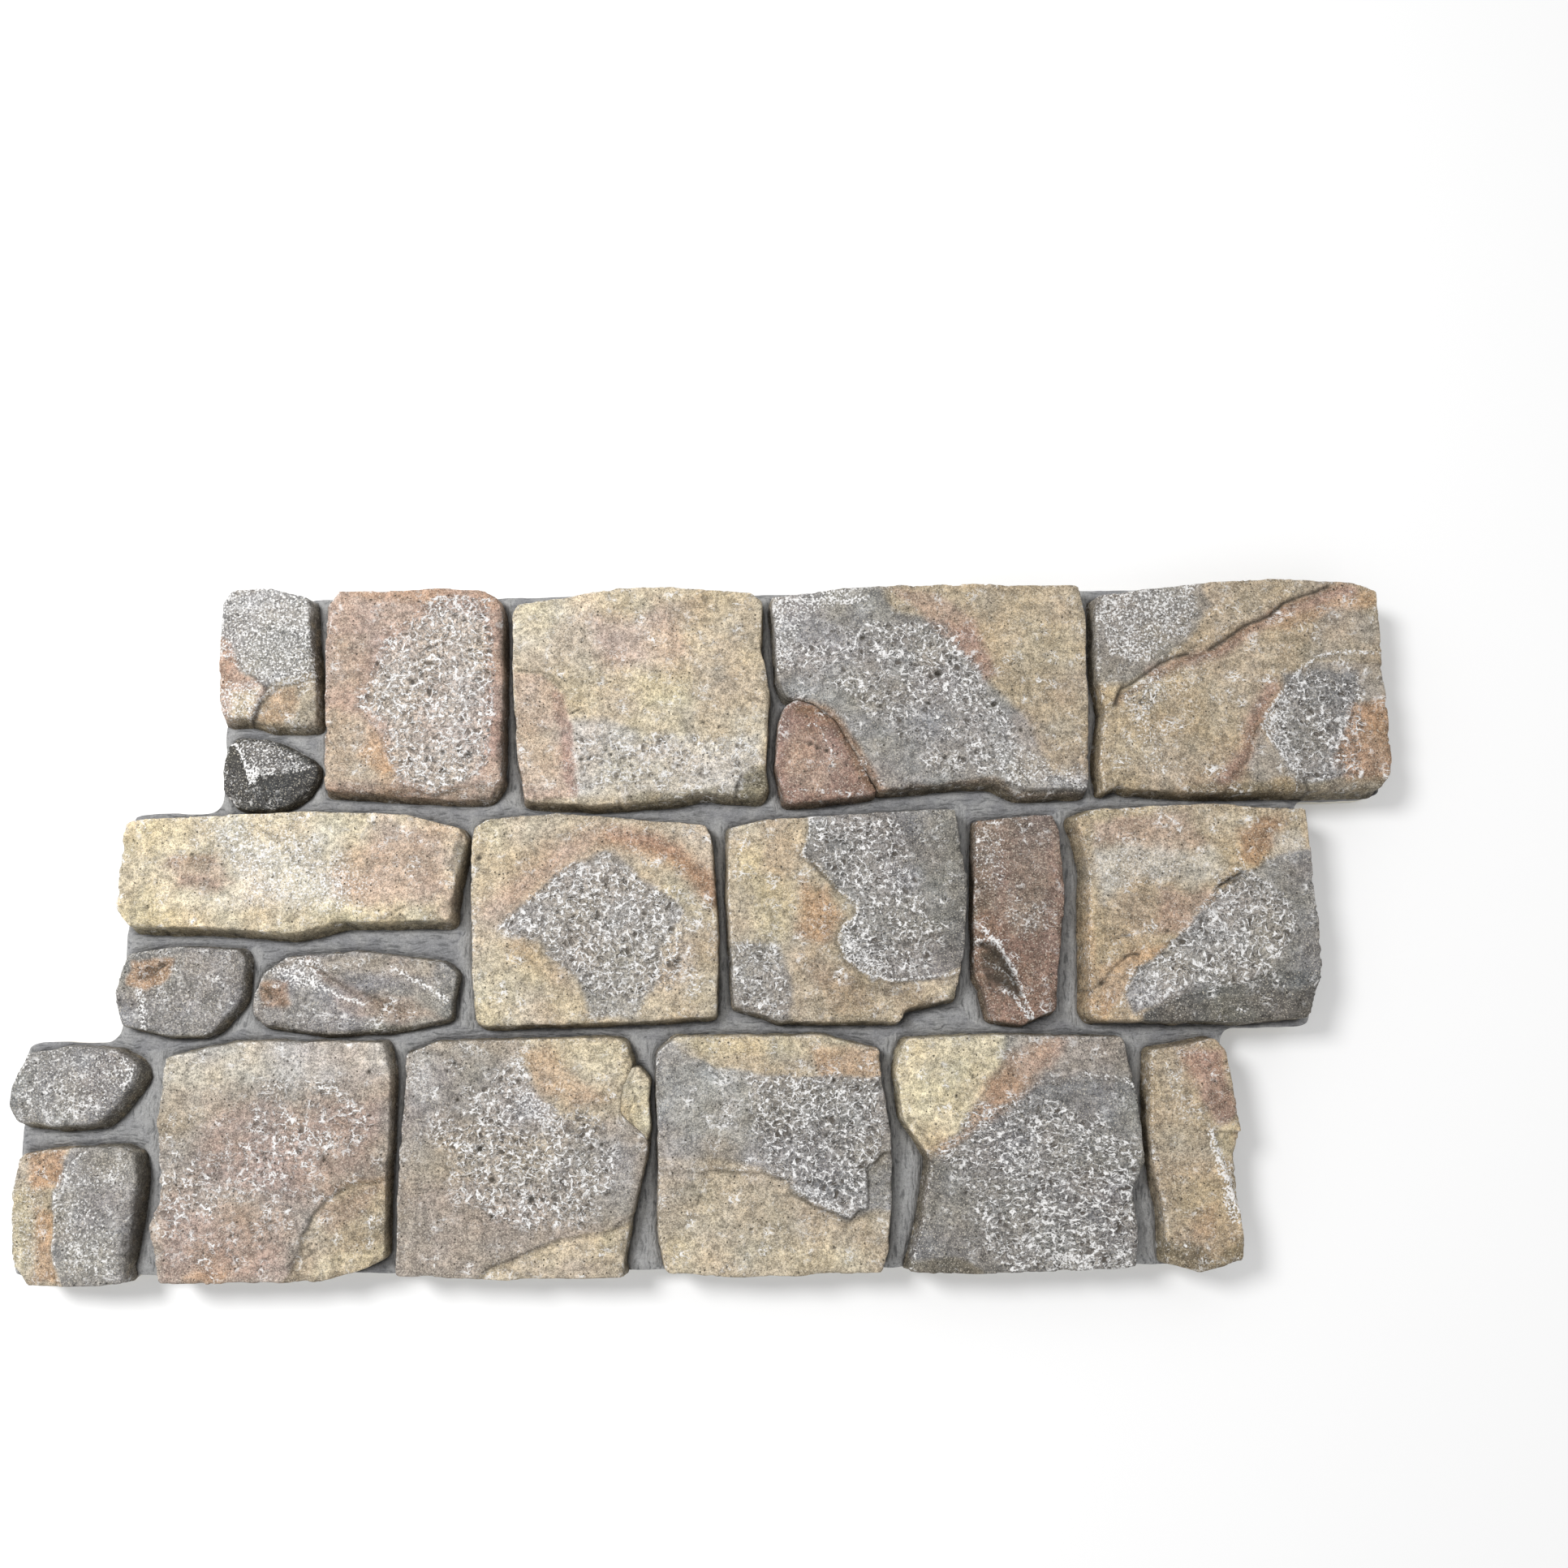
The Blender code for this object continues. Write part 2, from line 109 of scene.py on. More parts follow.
def wander(points: np.ndarray, size: float, seed: int) -> np.ndarray:
    """Give smooth noise with lumps of a size.

    Args:
        points: positions in metres, one row each.
        size: distance between lumps, in metres.
        seed: picks one of many patterns.

    Returns:
        One value from about -1 to 1 for each row.
    """
    grid = points / size
    cells = np.floor(grid).astype(np.int64)
    part = grid - cells
    ease = part * part * part * (part * (part * 6 - 15) + 10)
    total = np.zeros(len(points))
    for corner in product((0, 1), repeat=points.shape[1]):
        share = np.prod(np.where(np.array(corner) == 1, ease, 1 - ease), axis=1)
        total += share * hashed(cells + np.array(corner), seed)
    return total * 2 - 1


def rough(points: np.ndarray, size: float, seed: int, octaves: int = 3) -> np.ndarray:
    """Give noise with finer noise added to it.

    Args:
        points: positions in metres, one row each.
        size: size of the largest lumps, in metres.
        seed: picks one of many patterns.
        octaves: how many sizes are added, each half of the last.

    Returns:
        One value from about -1 to 1 for each row.
    """
    total = np.zeros(len(points))
    for step in range(octaves):
        total += wander(points + step * 0.37, size / 2**step, seed + step * 17) / 2**step
    return total / (2 - 2 ** (1 - octaves))


def eased(low: float, high: float, values: np.ndarray) -> np.ndarray:
    """Rise smoothly from 0 at low to 1 at high.

    Args:
        low: value where the rise starts.
        high: value where the rise ends.
        values: the values to ease.

    Returns:
        One value from 0 to 1 for each value.
    """
    share = np.clip((values - low) / (high - low), 0, 1)
    return share * share * (3 - 2 * share)


def bell(distance: np.ndarray, width: float | np.ndarray) -> np.ndarray:
    """Fall smoothly from 1 at no distance to nearly 0 at twice a width."""
    return np.exp(-((distance / width) ** 2))


def lengths(ways: np.ndarray, least: float = 1e-6) -> np.ndarray:
    """Return how long each way is, and never less than the least."""
    return np.maximum(np.hypot(*ways.T), least)


def flare(ways: np.ndarray, spread: tuple[float, float, float, float]) -> np.ndarray:
    """Say how far a stone's side slopes out.

    Args:
        ways: ways that the side faces, one row each.
        spread: slope to the left, right, low and high side, in millimetres.

    Returns:
        Millimetres for each way.
    """
    left, right, low, high = spread
    across = np.where(ways[:, 0] > 0, right * ways[:, 0], -left * ways[:, 0])
    return across + np.where(ways[:, 1] > 0, high * ways[:, 1], -low * ways[:, 1])


def to_line(plan: np.ndarray, line: np.ndarray, closed: bool) -> tuple[np.ndarray, np.ndarray]:
    """Measure from each point to a line of straight runs.

    Args:
        plan: positions seen from above, one row each.
        line: corners of the line.
        closed: whether the last corner joins the first.

    Returns:
        The distance to the line, and the way from the line to the point.
    """
    best = np.full(len(plan), np.inf)
    way = np.zeros_like(plan)
    ends = np.roll(line, -1, axis=0) if closed else line[1:]
    for start, end in zip(line, ends):
        run = end - start
        share = np.clip(((plan - start) @ run) / max(run @ run, 1e-12), 0, 1)
        gap = plan - (start + share[:, None] * run)
        distance = np.hypot(gap[:, 0], gap[:, 1])
        nearer = distance < best
        best[nearer] = distance[nearer]
        way[nearer] = gap[nearer]
    return best, way


def within(plan: np.ndarray, outline: np.ndarray) -> np.ndarray:
    """Say which points lie inside an outline.

    Args:
        plan: positions seen from above, one row each.
        outline: corners of the outline, in either direction.

    Returns:
        True for each point inside.
    """
    inside = np.zeros(len(plan), dtype=bool)
    for (x0, y0), (x1, y1) in zip(outline, np.roll(outline, -1, axis=0)):
        if y0 == y1:
            continue
        crosses = (plan[:, 1] < y0) != (plan[:, 1] < y1)
        inside ^= crosses & (plan[:, 0] < x0 + (plan[:, 1] - y0) * (x1 - x0) / (y1 - y0))
    return inside


def inset(plan: np.ndarray, outline: np.ndarray) -> np.ndarray:
    """Measure how far each point lies inside an outline, below zero outside.

    Args:
        plan: positions seen from above, one row each.
        outline: corners of the outline.

    Returns:
        One distance for each point.
    """
    distance, _ = to_line(plan, outline, True)
    return np.where(within(plan, outline), distance, -distance)


# Mesh work


def rest_selection() -> None:
    """Leave edit mode and deselect everything."""
    if bpy.context.object and bpy.context.object.mode != 'OBJECT':
        bpy.ops.object.mode_set(mode='OBJECT')
    bpy.ops.object.select_all(action='DESELECT')


def prism(name: str, outline: np.ndarray, low: float, high: float) -> bpy.types.Object:
    """Model a block with an outline: a filled circle shaped to it and extruded.

    Args:
        name: name of the piece.
        outline: corners seen from above, in metres.
        low: height of its underside.
        high: height of its top.

    Returns:
        The block, placed in its mesh.
    """
    rest_selection()
    centre = outline.mean(axis=0)
    reach = float(np.abs(outline - centre).max())
    bpy.ops.mesh.primitive_circle_add(
        vertices=len(outline), radius=reach, fill_type='NGON', location=(centre[0], centre[1], low)
    )
    bpy.ops.object.transform_apply(location=True, rotation=True, scale=True)
    item = bpy.context.object
    item.name = name
    item.data.name = name
    corners = np.column_stack([outline, np.full(len(outline), low)])
    item.data.vertices.foreach_set("co", corners.ravel())
    bpy.ops.object.mode_set(mode='EDIT')
    bpy.ops.mesh.select_all(action='SELECT')
    bpy.ops.mesh.extrude_region_move(TRANSFORM_OT_translate={"value": (0, 0, high - low)})
    bpy.ops.mesh.select_all(action='SELECT')
    bpy.ops.mesh.normals_make_consistent(inside=False)
    bpy.ops.object.mode_set(mode='OBJECT')
    return item


def remeshed(item: bpy.types.Object, size: float) -> None:
    """Give a block an even net of small faces.

    Args:
        item: the block.
        size: side of a face, in metres.
    """
    bpy.context.view_layer.objects.active = item
    net = item.modifiers.new("net", 'REMESH')
    net.mode = 'VOXEL'
    net.voxel_size = size
    net.use_smooth_shade = True
    bpy.ops.object.modifier_apply(modifier="net")


def cut_below(item: bpy.types.Object, height: float) -> None:
    """Cut a piece off flat at a height and close it there.

    Args:
        item: the piece.
        height: height of the cut.
    """
    bpy.context.view_layer.objects.active = item
    bpy.ops.object.mode_set(mode='EDIT')
    bpy.ops.mesh.select_all(action='SELECT')
    bpy.ops.mesh.bisect(
        plane_co=(0, 0, height), plane_no=(0, 0, 1), use_fill=True, clear_inner=True, threshold=1e-5
    )
    bpy.ops.object.mode_set(mode='OBJECT')


def places(item: bpy.types.Object) -> np.ndarray:
    """Return where the vertices of a piece are, one row each."""
    flat = np.empty(len(item.data.vertices) * 3)
    item.data.vertices.foreach_get("co", flat)
    return flat.reshape(-1, 3)


def normals(item: bpy.types.Object) -> np.ndarray:
    """Return the way that each vertex of a piece faces, one row each."""
    flat = np.empty(len(item.data.vertices) * 3)
    item.data.vertex_normals.foreach_get("vector", flat)
    return flat.reshape(-1, 3)


def set_places(item: bpy.types.Object, rows: np.ndarray) -> None:
    """Move the vertices of a piece to new places, one row each."""
    item.data.vertices.foreach_set("co", rows.ravel())
    item.data.update()


def in_box(rows: np.ndarray) -> np.ndarray:
    """Keep places just inside the CAD model's box."""
    return np.clip(rows, np.array(CAD_BOX[0]) + BOX_MARGIN, np.array(CAD_BOX[1]) - BOX_MARGIN)


def give_finish(item: bpy.types.Object, finish: bpy.types.Material) -> None:
    """Make a material the only one of a piece."""
    rest_selection()
    item.data.materials.clear()
    item.data.materials.append(finish)


def keep_layer(item: bpy.types.Object, name: str, colours: np.ndarray) -> None:
    """Store four values at each vertex, for the material to read.

    Args:
        item: the piece.
        name: name of the layer.
        colours: rows of four values.
    """
    layer = item.data.attributes.new(name, 'FLOAT_COLOR', 'POINT')
    layer.data.foreach_set("color", colours.astype(np.float32).ravel())


def softened(corners: np.ndarray, cut: float, step: float) -> np.ndarray:
    """Round the corners of an outline and divide its runs evenly.

    Args:
        corners: the corners, clockwise.
        cut: how far from a corner its curve starts, at most.
        step: distance between the new points.

    Returns:
        The points of the softened outline.
    """
    curve = []
    for index, corner in enumerate(corners):
        ends = []
        for other in (corners[index - 1], corners[(index + 1) % len(corners)]):
            run = other - corner
            length = float(np.hypot(*run))
            ends.append(corner + run / length * min(cut, length * 0.42))
        for share in np.linspace(0, 1, 6):
            curve.append(ends[0] * (1 - share) ** 2 + corner * 2 * share * (1 - share) + ends[1] * share**2)
    ring = np.array(curve + curve[:1])
    runs = np.hypot(*np.diff(ring, axis=0).T)
    travel = np.concatenate([[0], np.cumsum(runs)])
    stops = np.linspace(0, travel[-1], int(travel[-1] / step), endpoint=False)
    return np.column_stack([np.interp(stops, travel, ring[:, axis]) for axis in (0, 1)])


# Paints, in linear light


class Tone(Enum):
    """The paints brushed and sprayed on the moulding."""

    CREAM = (0.66, 0.57, 0.41)
    YELLOW = (0.60, 0.51, 0.33)
    PALE = (0.52, 0.48, 0.42)
    SAND = (0.50, 0.42, 0.31)
    TAN = (0.44, 0.35, 0.24)
    PINK = (0.49, 0.36, 0.29)
    ROSE = (0.37, 0.24, 0.195)
    ORANGE = (0.48, 0.29, 0.17)
    RUST = (0.24, 0.145, 0.09)
    BROWN = (0.13, 0.09, 0.06)
    TAUPE = (0.36, 0.31, 0.26)
    GREY = (0.30, 0.285, 0.27)
    LIGHT_GREY = (0.36, 0.355, 0.34)
    SLATE = (0.23, 0.22, 0.21)
    DARK_GREY = (0.12, 0.118, 0.11)
    OLIVE = (0.17, 0.145, 0.09)


class Layer(Enum):
    """What is worked over the paint, by its channel in the wear layer. The dark channel holds dark wash and
    also painted shade; the chalk channel holds dry white and also a painted highlight.
    """

    PITTED = 0
    CHALK_AND_HIGHLIGHT = 1
    WASH_AND_SHADE = 2
    STREAKED = 3


@dataclass(frozen=True)
class Cell:
    """The room of one column of a course, in metres, about the panel's centre."""

    left: float
    low: float
    width: float
    height: float

    def spot(self, share: tuple[float, float]) -> np.ndarray:
        """Turn hundredths of the cell's width and height into a place."""
        return np.array(share, dtype=float) / 100 * (self.width, self.height) + (self.left, self.low)

    def at(self, points: str) -> np.ndarray:
        """Turn an outline or a line into places.

        Args:
            points: its points as "x,y x,y", in hundredths of the width and the height.

        Returns:
            One row of x and y for each point.
        """
        return np.array([self.spot(pair.split(",")) for pair in points.split()])


@dataclass
class Skin:
    """A stone's surface while it is worked, with one row for each vertex."""

    cell: Cell
    plan: np.ndarray
    level: np.ndarray
    height: np.ndarray
    paint: np.ndarray
    wear: np.ndarray
    seed: int

    def __post_init__(self) -> None:
        """Prepare the wavering that keeps edges from running straight."""
        self.drift = np.column_stack(
            [rough(self.plan, 0.018, self.seed + 3, 4), rough(self.plan, 0.018, self.seed + 71, 4)]
        )

    def region(self, points: str, soft: float, drift: float) -> np.ndarray:
        """Mark an area of the stone.

        Args:
            points: outline in hundredths of the cell.
            soft: width of its edge, in millimetres.
            drift: how far its edge wavers, in millimetres.

        Returns:
            A share from 0 to 1 for each vertex.
        """
        depth = inset(self.plan + self.drift * drift * MM, self.cell.at(points))
        return eased(-soft * MM / 2, soft * MM / 2, depth)

    def along(self, points: str, width: float, drift: float) -> np.ndarray:
        """Mark what lies along a wavering line.

        Args:
            points: the line in hundredths of the cell.
            width: how wide the mark is, in millimetres.
            drift: how far the line wavers, in millimetres.

        Returns:
            A share from 0 to 1 for each vertex.
        """
        distance, _ = to_line(self.plan + self.drift * drift * MM, self.cell.at(points), False)
        return bell(distance, width * MM)

    def coat(self, layer: Layer, share: np.ndarray) -> None:
        """Add a share of a layer to the wear."""
        channel = self.wear[:, layer.value]
        self.wear[:, layer.value] = channel + (1 - channel) * np.clip(share, 0, 1)

    def brush(self, tone: Tone, share: np.ndarray) -> None:
        """Mix a share of a paint into the surface."""
        share = np.clip(share, 0, 1)[:, None]
        self.paint = self.paint * (1 - share) + np.array(tone.value) * share


@dataclass(frozen=True)
class Ledge:
    """A broken-away area of a face, as in the part: outline, depth and fall of its floor."""

    region: str
    depth: float
    slope: tuple[float, float] = (0.0, 0.0)
    lip: float = 0.5
    foot: float = 0.5
    drift: float = 2.5

    def work(self, skin: Skin) -> None:
        """Lower the area, and chalk its lip and darken its foot."""
        plan = skin.plan + skin.drift * self.drift * MM
        outline = skin.cell.at(self.region)
        depth = inset(plan, outline)
        start = outline[0]
        near = int(np.argmin(np.hypot(*(skin.plan - start).T)))
        fall = (skin.plan - start) @ np.array(self.slope)
        floor = skin.level[near] - self.depth * MM + fall
        lower = np.minimum(skin.height, floor + (skin.height - skin.level))
        share = eased(-0.6 * MM, 1.2 * MM, depth)
        step = np.clip((skin.height - lower) / (1.2 * MM), 0, 1)
        skin.height = skin.height * (1 - share) + lower * share
        skin.coat(Layer.CHALK_AND_HIGHLIGHT, self.lip * step * bell(depth + 1.2 * MM, 1.6 * MM))
        skin.coat(Layer.WASH_AND_SHADE, self.foot * step * bell(depth - 1.4 * MM, 1.6 * MM))


@dataclass(frozen=True)
class Crack:
    """A groove along a line, with dirt in it."""

    line: str
    width: float = 1.2
    depth: float = 1.6
    dirt: float = 0.9
    drift: float = 1.6

    def work(self, skin: Skin) -> None:
        """Cut the groove and darken it."""
        share = skin.along(self.line, self.width, self.drift)
        skin.height = skin.height - share * self.depth * MM
        skin.coat(Layer.WASH_AND_SHADE, share * self.dirt)


@dataclass(frozen=True)
class Ridge:
    """A raised line, with chalk along it."""

    line: str
    width: float = 2.5
    rise: float = 0.8
    chalk: float = 0.8
    drift: float = 1.6

    def work(self, skin: Skin) -> None:
        """Raise the line and chalk it."""
        share = skin.along(self.line, self.width, self.drift)
        skin.height = skin.height + share * self.rise * MM
        skin.coat(Layer.CHALK_AND_HIGHLIGHT, share * self.chalk)


@dataclass(frozen=True)
class Stain:
    """A paint brushed along a line."""

    tone: Tone
    line: str
    width: float = 6.0
    share: float = 0.7

    def work(self, skin: Skin) -> None:
        """Brush the paint along the line."""
        share = skin.along(self.line, self.width, 3.0)
        skin.brush(self.tone, share * self.share)


@dataclass(frozen=True)
class Pit:
    """A hole in a face."""

    spot: tuple[float, float]
    radius: float = 3.0
    depth: float = 2.0
    dirt: float = 0.95

    def work(self, skin: Skin) -> None:
        """Sink the hole and darken it."""
        middle = skin.cell.spot(self.spot)
        gap = skin.plan + skin.drift * self.radius * 0.35 * MM - middle
        share = np.clip(1 - np.hypot(*gap.T) / (self.radius * MM), 0, 1)
        skin.height = skin.height - self.depth * MM * np.sqrt(share) * np.minimum(1, share * 3)
        skin.coat(Layer.WASH_AND_SHADE, np.clip(share * 2.2, 0, 1) * self.dirt)


@dataclass(frozen=True)
class Wash:
    """A paint laid over an area."""

    tone: Tone
    region: str
    share: float = 0.9
    soft: float = 10.0

    def work(self, skin: Skin) -> None:
        """Lay the paint over the area."""
        skin.brush(self.tone, skin.region(self.region, self.soft, 2.5 + self.soft * 0.3) * self.share)


@dataclass(frozen=True)
class Coat:
    """A worked layer over an area: pits, streaks, chalk, or the dark layer of wash and painted shade."""

    layer: Layer
    region: str
    share: float
    soft: float

    def work(self, skin: Skin) -> None:
        """Lay the layer over the area."""
        skin.coat(self.layer, skin.region(self.region, self.soft, 3.0 + self.soft * 0.25) * self.share)


def pitted(region: str, share: float, soft: float) -> Coat:
    """Lay pits over an area."""
    return Coat(Layer.PITTED, region, share, soft)


def chalk(region: str, share: float, soft: float) -> Coat:
    """Lay chalk over an area."""
    return Coat(Layer.CHALK_AND_HIGHLIGHT, region, share, soft)


def wash_and_shade(region: str, share: float, soft: float) -> Coat:
    """Lay the dark layer over an area: dark wash, and painted shade along edges facing away from the light.
    """
    return Coat(Layer.WASH_AND_SHADE, region, share, soft)


def streaked(region: str, share: float, soft: float) -> Coat:
    """Lay streaks over an area."""
    return Coat(Layer.STREAKED, region, share, soft)


Work = Ledge | Crack | Ridge | Stain | Pit | Wash | Coat


@dataclass(frozen=True)
class Stone:
    """One stone: its outline in hundredths of its cell, its relief in millimetres and its paint.

    Attributes:
        rise: height of its face over the bed.
        base: paint under all the others.
        work: what is done to its face, in this order.
        tilt: how much the face rises to the right and to the top.
        spread: slope of its left, right, low and high side.
        peak: place of a high point, and how high it stands.
        rim: width of its rounded rim.
        lumps: how uneven the face is.
        shade: brightness of all its paint.
    """

    name: str
    outline: str
    rise: float
    base: Tone
    work: tuple[Work, ...] = ()
    tilt: tuple[float, float] = (0.0, 0.0)
    spread: tuple[float, float, float, float] = (3, 3, 4, 1)
    peak: tuple[float, float, float] | None = None
    rim: float = 4.0
    lumps: float = 1.0
    shade: float = 1.0

    def face(self, cell: Cell, plan: np.ndarray) -> np.ndarray:
        """Give the height of the face before it is worked.

        Args:
            cell: the stone's cell.
            plan: positions seen from above.

        Returns:
            One height for each position.
        """
        middle = cell.spot((50, 50))
        level = BED_THICKNESS + self.rise * MM + (plan - middle) @ np.array(self.tilt)
        if self.peak:
            top = cell.spot(self.peak[:2])
            outline = cell.at(self.outline)
            depth = np.clip(inset(plan, outline), 0, None)
            gap = np.hypot(*(plan - top).T)
            level = level + self.peak[2] * MM * depth / np.maximum(depth + gap, 1e-6)
        return level

    def build(self, cell: Cell, seed: int, finish: bpy.types.Material) -> bpy.types.Object:
        """Model and paint the stone.

        Args:
            cell: the stone's cell.
            seed: makes its unevenness its own.
            finish: the stones' material.

        Returns:
            The finished stone.
        """
        outline = softened(cell.at(self.outline), CORNER_CUT, OUTLINE_STEP)
        middle = outline.mean(axis=0)
        outward = (outline - middle) / lengths(outline - middle)[:, None]
        waver = (0.7 + rough(outline, 0.030, seed, 4) * 1.2 + rough(outline, 0.009, seed + 3, 2) * 0.8) * MM
        outline = outline + outward * waver[:, None]
        foot = BED_THICKNESS - FOOT_DEPTH
        top = BED_THICKNESS + self.rise * MM
        item = prism(self.name, outline, foot - SPARE_DEPTH, top)
        remeshed(item, STONE_NET)
        cut_below(item, foot)
        rows = places(item)
        plan = rows[:, :2].copy()
        edge, away = to_line(plan, outline, True)
        inside = within(plan, outline)
        edge = np.where(inside, edge, -edge) + rough(plan, 0.007, seed + 7) * 0.7 * MM
        level = self.face(cell, plan)
        skin = Skin(
            cell, plan, level, level.copy(),
            np.tile(np.array(self.base.value), (len(plan), 1)), np.zeros((len(plan), 4)), seed,
        )
        bumps = rough(plan, 0.075, seed + 11) * 1.0 + rough(plan, 0.022, seed + 23) * 1.15
        skin.height = skin.height + self.lumps * bumps * MM
        for step in self.work:
            step.work(skin)
        fine = rough(plan, 0.0090, seed + 31) * (0.50 + 0.25 * skin.wear[:, Layer.PITTED.value])
        skin.height = skin.height + fine * MM
        wear = rough(plan, 0.030, seed + 41)
        low = np.clip(np.where(inside, away[:, 1], -away[:, 1]) / lengths(away, 1e-7), 0, 1)
        chip = eased(0.20, 0.44, rough(plan, 0.013, seed + 53, 4) + 0.12 * low)
        width = (self.rim * 0.35 + 0.7 * np.clip(wear, -0.8, 1) + 4.5 * chip) * MM
        drop = (self.rim * 0.22 + 0.5 * wear + 3.4 * chip) * MM
        round_off = np.clip(1 - np.clip(edge, 0, None) / width, 0, 1) ** 1.3
        skin.height = skin.height - drop * round_off
        share = np.clip((rows[:, 2] - foot) / (top - foot), 0, 1)
        warmth = rough(plan, 0.028, seed + 83, 4)[:, None] * (0.07, -0.01, -0.10)
        yellow = rough(plan, 0.040, seed + 89, 4)[:, None] * (0.02, 0.02, -0.08)
        skin.paint = np.clip(skin.paint * (1 + warmth + yellow), 0, 0.8)
        self.lay(item, skin, rows, share, edge, away, inside, foot)
        give_finish(item, finish)
        return item

    def lay(
        self, item: bpy.types.Object, skin: Skin, rows: np.ndarray, share: np.ndarray,
        edge: np.ndarray, away: np.ndarray, inside: np.ndarray, foot: float,
    ) -> None:
        """Move the vertices to the worked surface and store its paint, with painted shade on the walls and a
        painted highlight on the lit rims.

        Args:
            item: the stone's mesh object.
            skin: the worked surface.
            rows: where the vertices are.
            share: how far up the side each vertex is.
            edge: how far inside the outline each vertex is.
            away: the way from the outline to each vertex.
            inside: which vertices are inside the outline.
            foot: height of the stone's cut bottom.
        """
        side = eased(0.0030, 0.0006, edge) * (share < 0.985)
        way = np.where(inside[:, None], -away, away)
        length = lengths(way, 1e-7)
        facing = normals(item)[:, :2]
        way = np.where((length > 0.2 * MM)[:, None], way / length[:, None], facing)
        reach = flare(way, self.spread)
        crag = rough(rows, 0.018, skin.seed + 61, 4) * 2.2 * np.sqrt(np.clip(1 - share, 0, 1))
        gravel = rough(rows, 0.0055, skin.seed + 67)
        broken = eased(0.0016, 0.0040, skin.level - skin.height) * (1 - skin.wear[:, Layer.PITTED.value])
        skin.brush(Tone.OLIVE, broken * np.clip(0.15 - 0.5 * gravel, 0, 0.6))
        skin.brush(Tone.PALE, broken * np.clip(gravel - 0.3, 0, 0.6))
        push = (np.clip(reach, 0, 9) * (1 - share) ** 1.4 + crag) * MM * side
        rows = rows.copy()
        rows[:, :2] += way * push[:, None]
        rows[:, 2] = foot + share * (skin.height - foot)
        set_places(item, in_box(rows))
        # The walls are painted olive and darkened towards the foot, partly dark wash and partly painted
        # shade; walls facing right and down, away from the light, get more of both as painted shade.
        below = np.clip((1 - share) * 1.6, 0, 1) ** 0.7 * side
        shaded_facing = np.clip(way[:, 0] * 0.3 - way[:, 1] * 0.8, 0, 1)
        skin.brush(Tone.OLIVE, below * np.clip(0.44 + 0.26 * shaded_facing + 0.35 * gravel, 0, 1))
        skin.brush(Tone.TAN, below * np.clip(gravel * 1.4 - 0.25, 0, 0.8))
        skin.coat(Layer.WASH_AND_SHADE, below**3 * (0.25 + 0.20 * shaded_facing) + below * np.clip(-gravel * 0.9, 0, 0.5))
        skin.wear[:, Layer.CHALK_AND_HIGHLIGHT.value] *= 1 - below
        # Painted highlight: rims facing up and left, towards the light, get extra chalk.
        lit_facing = np.clip(way[:, 1] * 0.6 - way[:, 0] * 0.7, 0, 1) * (1 - below)
        skin.coat(Layer.CHALK_AND_HIGHLIGHT, 0.45 * lit_facing * eased(0.0042, 0.0008, edge))
        keep_layer(item, "paint", np.column_stack([skin.paint * self.shade, np.ones(len(skin.paint))]))
        keep_layer(item, "wear", skin.wear)


# Top course, from the left

T1 = Stone(
    "t1", "3,93 12,99 48,100 85,95 89,75 93,63 95,38 55,38 28,42 10,41 3,47 2,61",
    20, Tone.GREY, (
        chalk("0,105 100,105 100,55 52,55 0,68", 0.46, 6),
        Wash(Tone.PINK, "-5,80 14,74 22,62 32,59 48,53 30,36 -5,36", 0.9, 5),
        Wash(Tone.ORANGE, "-4,79 12,76 14,64 6,52 -4,50", 0.45, 9),
        Wash(Tone.CREAM, "14,52 40,54 34,40 16,42", 0.8, 8),
        chalk("4,58 44,57 34,38 4,40", 0.45, 7),
        Wash(Tone.SAND, "49,54 60,58 93,61 97,36 32,36 40,45", 0.9, 2.5),
        Wash(Tone.ORANGE, "50,52 78,56 76,42 48,38 36,40", 0.55, 9),
        Ledge("-8,77 2,76 25,65 41,57 48,54 57,57 71,59 93,62 112,63 112,28 -8,28", 0.3, (0.02, 0.06), 0.3,
              0.5),
        Ledge("50,52 59,55 72,57 112,61 112,28 33,28 34,40 42,48", 3.0, (0.02, 0.03), 0.7, 0.5),
        Crack("48,54 41,48 37,43 32,38", 1.1, 1.5, 0.7),
        Stain(Tone.BROWN, "96,92 91,75 96,55", 3.0, 0.6),
    ),
    (0.0, 0.01), (1, 5, 8, 1),
)
T1_LOW = Stone(
    "t1_low", "13,29 20,32 46,31.5 65,28 90,21 97,18 96,14 86,7 71,2 51,0 32,0 19,2 9,9 7,18",
    11, Tone.DARK_GREY, (
        Wash(Tone.GREY, "24,30 48,30 95,19 60,17 42,16", 0.75, 5),
        chalk("22,31 50,30 96,18 60,17 40,14", 0.4, 6), chalk("10,20 40,12 70,6 40,1 14,6", 0.22, 8),
        Ridge("17,30 23,27 30,20 38,14", 2.2, 0.6, 0.95, 1.0),
        chalk("33,18 40,19 47,16 43,11.5 37,11.5", 1.0, 3),
        Ridge("42,14.5 52,15.5 70,16 94,19.5", 1.2, 0.5, 0.5, 1.0),
        Crack("50,10 50,3", 1.0, 0.6, 0.4),
    ),
    (0.0, 0.0), (1, 2, 3, 3), peak=(40, 14, 9.0), rim=3.0, lumps=0.5, shade=0.54,
)
